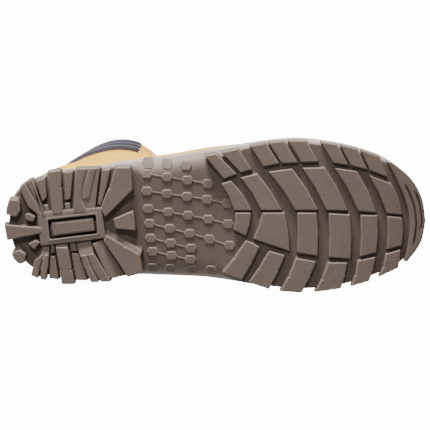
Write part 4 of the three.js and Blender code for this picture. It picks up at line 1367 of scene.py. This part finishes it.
def rolled_pad(name, material, u0, u1, start, end, outer, inner, rolls, nu, nt, proud,
               hollow=0.0):
    """Stuffed band over a patch of the upper: its section is a closed loop whose outer face
    swells between sewn channels, as a power of the size of a sine wave, and whose edges are
    quarter circles. Both ends close to a point, along a quarter circle too."""
    s = np.linspace(0, 1, nu)
    swell = np.abs(np.sin(rolls * np.pi * s)) ** 0.55
    half = (outer - inner) / 2
    middle = (outer + inner) / 2
    edge = np.clip(np.minimum(s, 1 - s) / 0.09, 0, 1)
    round_edge = np.sqrt(1 - (1 - edge) ** 2)
    top = middle + (half - proud + proud * swell) * round_edge
    low = middle - (half - hollow + hollow * swell) * round_edge
    loop_s = np.concatenate([s, s[-2:0:-1]])
    loop_d = np.concatenate([top, low[-2:0:-1]])
    t = np.concatenate([[0, 0.002, 0.006, 0.012], np.linspace(0.02, 0.98, nt),
                        [0.988, 0.994, 0.998, 1]])
    close = np.sqrt(1 - (1 - np.clip(np.minimum(t, 1 - t) / 0.02, 0, 1)) ** 2)
    u = np.broadcast_to(mix(u0, u1, loop_s)[None], (len(t), len(loop_s)))
    first, last = start(mix(u0, u1, s), outer), end(mix(u0, u1, s), outer)
    first, last = (np.concatenate([a, a[-2:0:-1]]) for a in (first, last))
    theta = mix(first[None], last[None], t[:, None])
    depth = middle + (loop_d[None] - middle) * close[:, None]
    points = upper_at(u, theta, depth)
    uv = np.stack([np.broadcast_to(t[:, None], u.shape) * 260,
                   np.broadcast_to(loop_s[None], u.shape) * 60], -1) * MM
    return make_object(name, points, capped_faces(len(t), len(loop_s)), material,
                       uv=uv.reshape(-1, 2))


def make_collar():
    """Padded collar: three rolls between two sewn channels, round the back of the shaft."""
    end = facing_back(-1, -2.5)
    pad = rolled_pad("collar_pad", COLLAR, COLLAR_ROW + 2 * seam_rows(COLLAR_ROW), TOP_ROW,
                     facing_back(1, -2.5), lambda u, depth: 2 * np.pi + end(u),
                     COLLAR_PROUD, COLLAR_PROUD - COLLAR_THICK, 3, 61, 150, 2.9, 1.0)
    dress(pad, "boot", "collar_textile", "collar_padding")


def make_footbed():
    """Loose footbed: a cloth-covered foam sheet with a rounded upper edge, on the insole board."""
    body = Body()
    base = BOARD_THICK + 2 * GAP

    def ring(inset, z):
        """One inset all round, at a height above the board."""
        return lambda x, side: inset + 0 * x, lambda x: feather_z(x) + base + z

    profile = [(15.3, 0), (15.0, 0.5), (15.0, 3.6), (15.3, 4.6), (16.2, 5.0)]
    stacked(body, [ring(*place) for place in profile], lambda k: 1.0, per_row=4, count=12)
    points = np.concatenate(body.points)
    thing = make_object("footbed_cover", points, body.faces, LINING, uv=points[:, :2] * MM,
                        sharp=60)
    dress(thing, "footbed", "lining_textile", "footbed")


# ------------------------------------------------------------------ stitching
def stitch_shape():
    """One stitch along +X, one unit long and wide: a bead of five rings of six points."""
    x = np.array([-0.5, -0.36, 0.0, 0.36, 0.5])
    r = np.array([0.12, 0.42, 0.5, 0.42, 0.12])
    angle = np.linspace(0, 2 * np.pi, 6, endpoint=False)
    ring = np.stack([np.cos(angle), np.sin(angle)], -1)
    return np.concatenate([np.broadcast_to(x[:, None, None], (5, 6, 1)),
                           r[:, None, None] * ring[None]], -1).reshape(-1, 3)


def stitches(name, paths, length=3.0, pitch=4.1, thick=0.75):
    """Rows of stitches along paths on the upper, each a list of rows, angles and a depth. Their
    middles lie a pitch apart along the path, each turned along it and flat on the leather."""
    shape = stitch_shape()
    beads = []
    for u, theta, depth in paths:
        points = upper_at(u, theta, np.broadcast_to(depth, u.shape))
        normals = upper_normal(u, theta)
        travelled = np.linalg.norm(np.diff(points, axis=0), axis=1).cumsum()
        travelled = np.concatenate([[0], travelled])
        at = np.arange(pitch / 2, travelled[-1], pitch)
        centre, normal, ahead = (
            np.stack([np.interp(place, travelled, values[:, k]) for k in range(3)], -1)
            for place, values in ((at, points), (at, normals), (at + 0.5, points)))
        way = ahead - centre
        way /= np.maximum(np.linalg.norm(way, axis=1, keepdims=True), 1e-9)
        side = np.cross(normal, way)
        axes = np.stack([way * length, side * thick, normal * thick * 0.7], 1)
        beads.append(centre[:, None] + np.einsum("mk,nkc->nmc", shape, axes))
    beads = np.concatenate(beads)
    first = np.arange(len(beads))[:, None, None] * len(shape)
    ends = np.array([np.arange(6), np.arange(29, 23, -1)])
    faces = [face for kind in (grid_faces(5, 6, wrap=True), ends)
             for face in (kind[None] + first).reshape(-1, kind.shape[1]).tolist()]
    thing = make_object(name, beads, faces, THREAD, weld=False)
    dress(thing, "boot", "nubuck")


def make_stitching():
    """Rows of stitches on the facings, along the quarters' front and upper edges and down both
    edges of the backstay."""
    u = np.linspace(THROAT + 0.12, TOP_ROW - 0.06, 120)
    for word, side in (("lateral", -1), ("medial", 1)):
        stitches(f"stitching_facing_{word}", [
            (u, beyond(front(side), side, place)(u), FACING_PROUD + 0.1)
            for place in (2.4, FACING_WIDTH - 2.4, FACING_WIDTH - 5.2)])
        share = np.linspace(0.03, 0.97, 60)
        start, end = facing_back(side, GAP), quarter_bottom(side)
        rows = [np.full(60, row) for row in (THROAT + 0.13, THROAT + 0.26, COLLAR_ROW - 0.1)]
        ends = [end(rows[0]), end(rows[1]), side * (np.pi - 0.28)]
        stitches(f"stitching_quarter_{word}", [
            (row, mix(start(row), last, share), 0.15) for row, last in zip(rows, ends)])
    rows = np.linspace(BACKSTAY_START + 0.15, COLLAR_ROW - 0.08, 60)
    stitches("stitching_backstay", [(rows, backstay_edge(side, 0.055)(rows), BACKSTAY_OUT + 0.1)
                                    for side in (-1, 1)])


# ------------------------------------------------------------------ all of it
make_outsole()
make_insert()
make_vamp()
make_backstay()
make_linings()
make_tongue()
make_gussets()
make_collar()
make_footbed()
for name, sign in (("lateral", -1), ("medial", 1)):
    make_quarter(name, sign)
    make_facing(name, sign)
make_stitching()

CAD_FINISHES = {"midsole": FOAM, "shank": STEEL, "insole_board": BOARD, "steel_toe_cap": STEEL,
                "toe_cap_edge_strip": RUBBER, "heel_counter": BOARD}
for name, material in CAD_FINISHES.items():
    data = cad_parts[name].data
    data.materials.clear()
    data.materials.append(material)
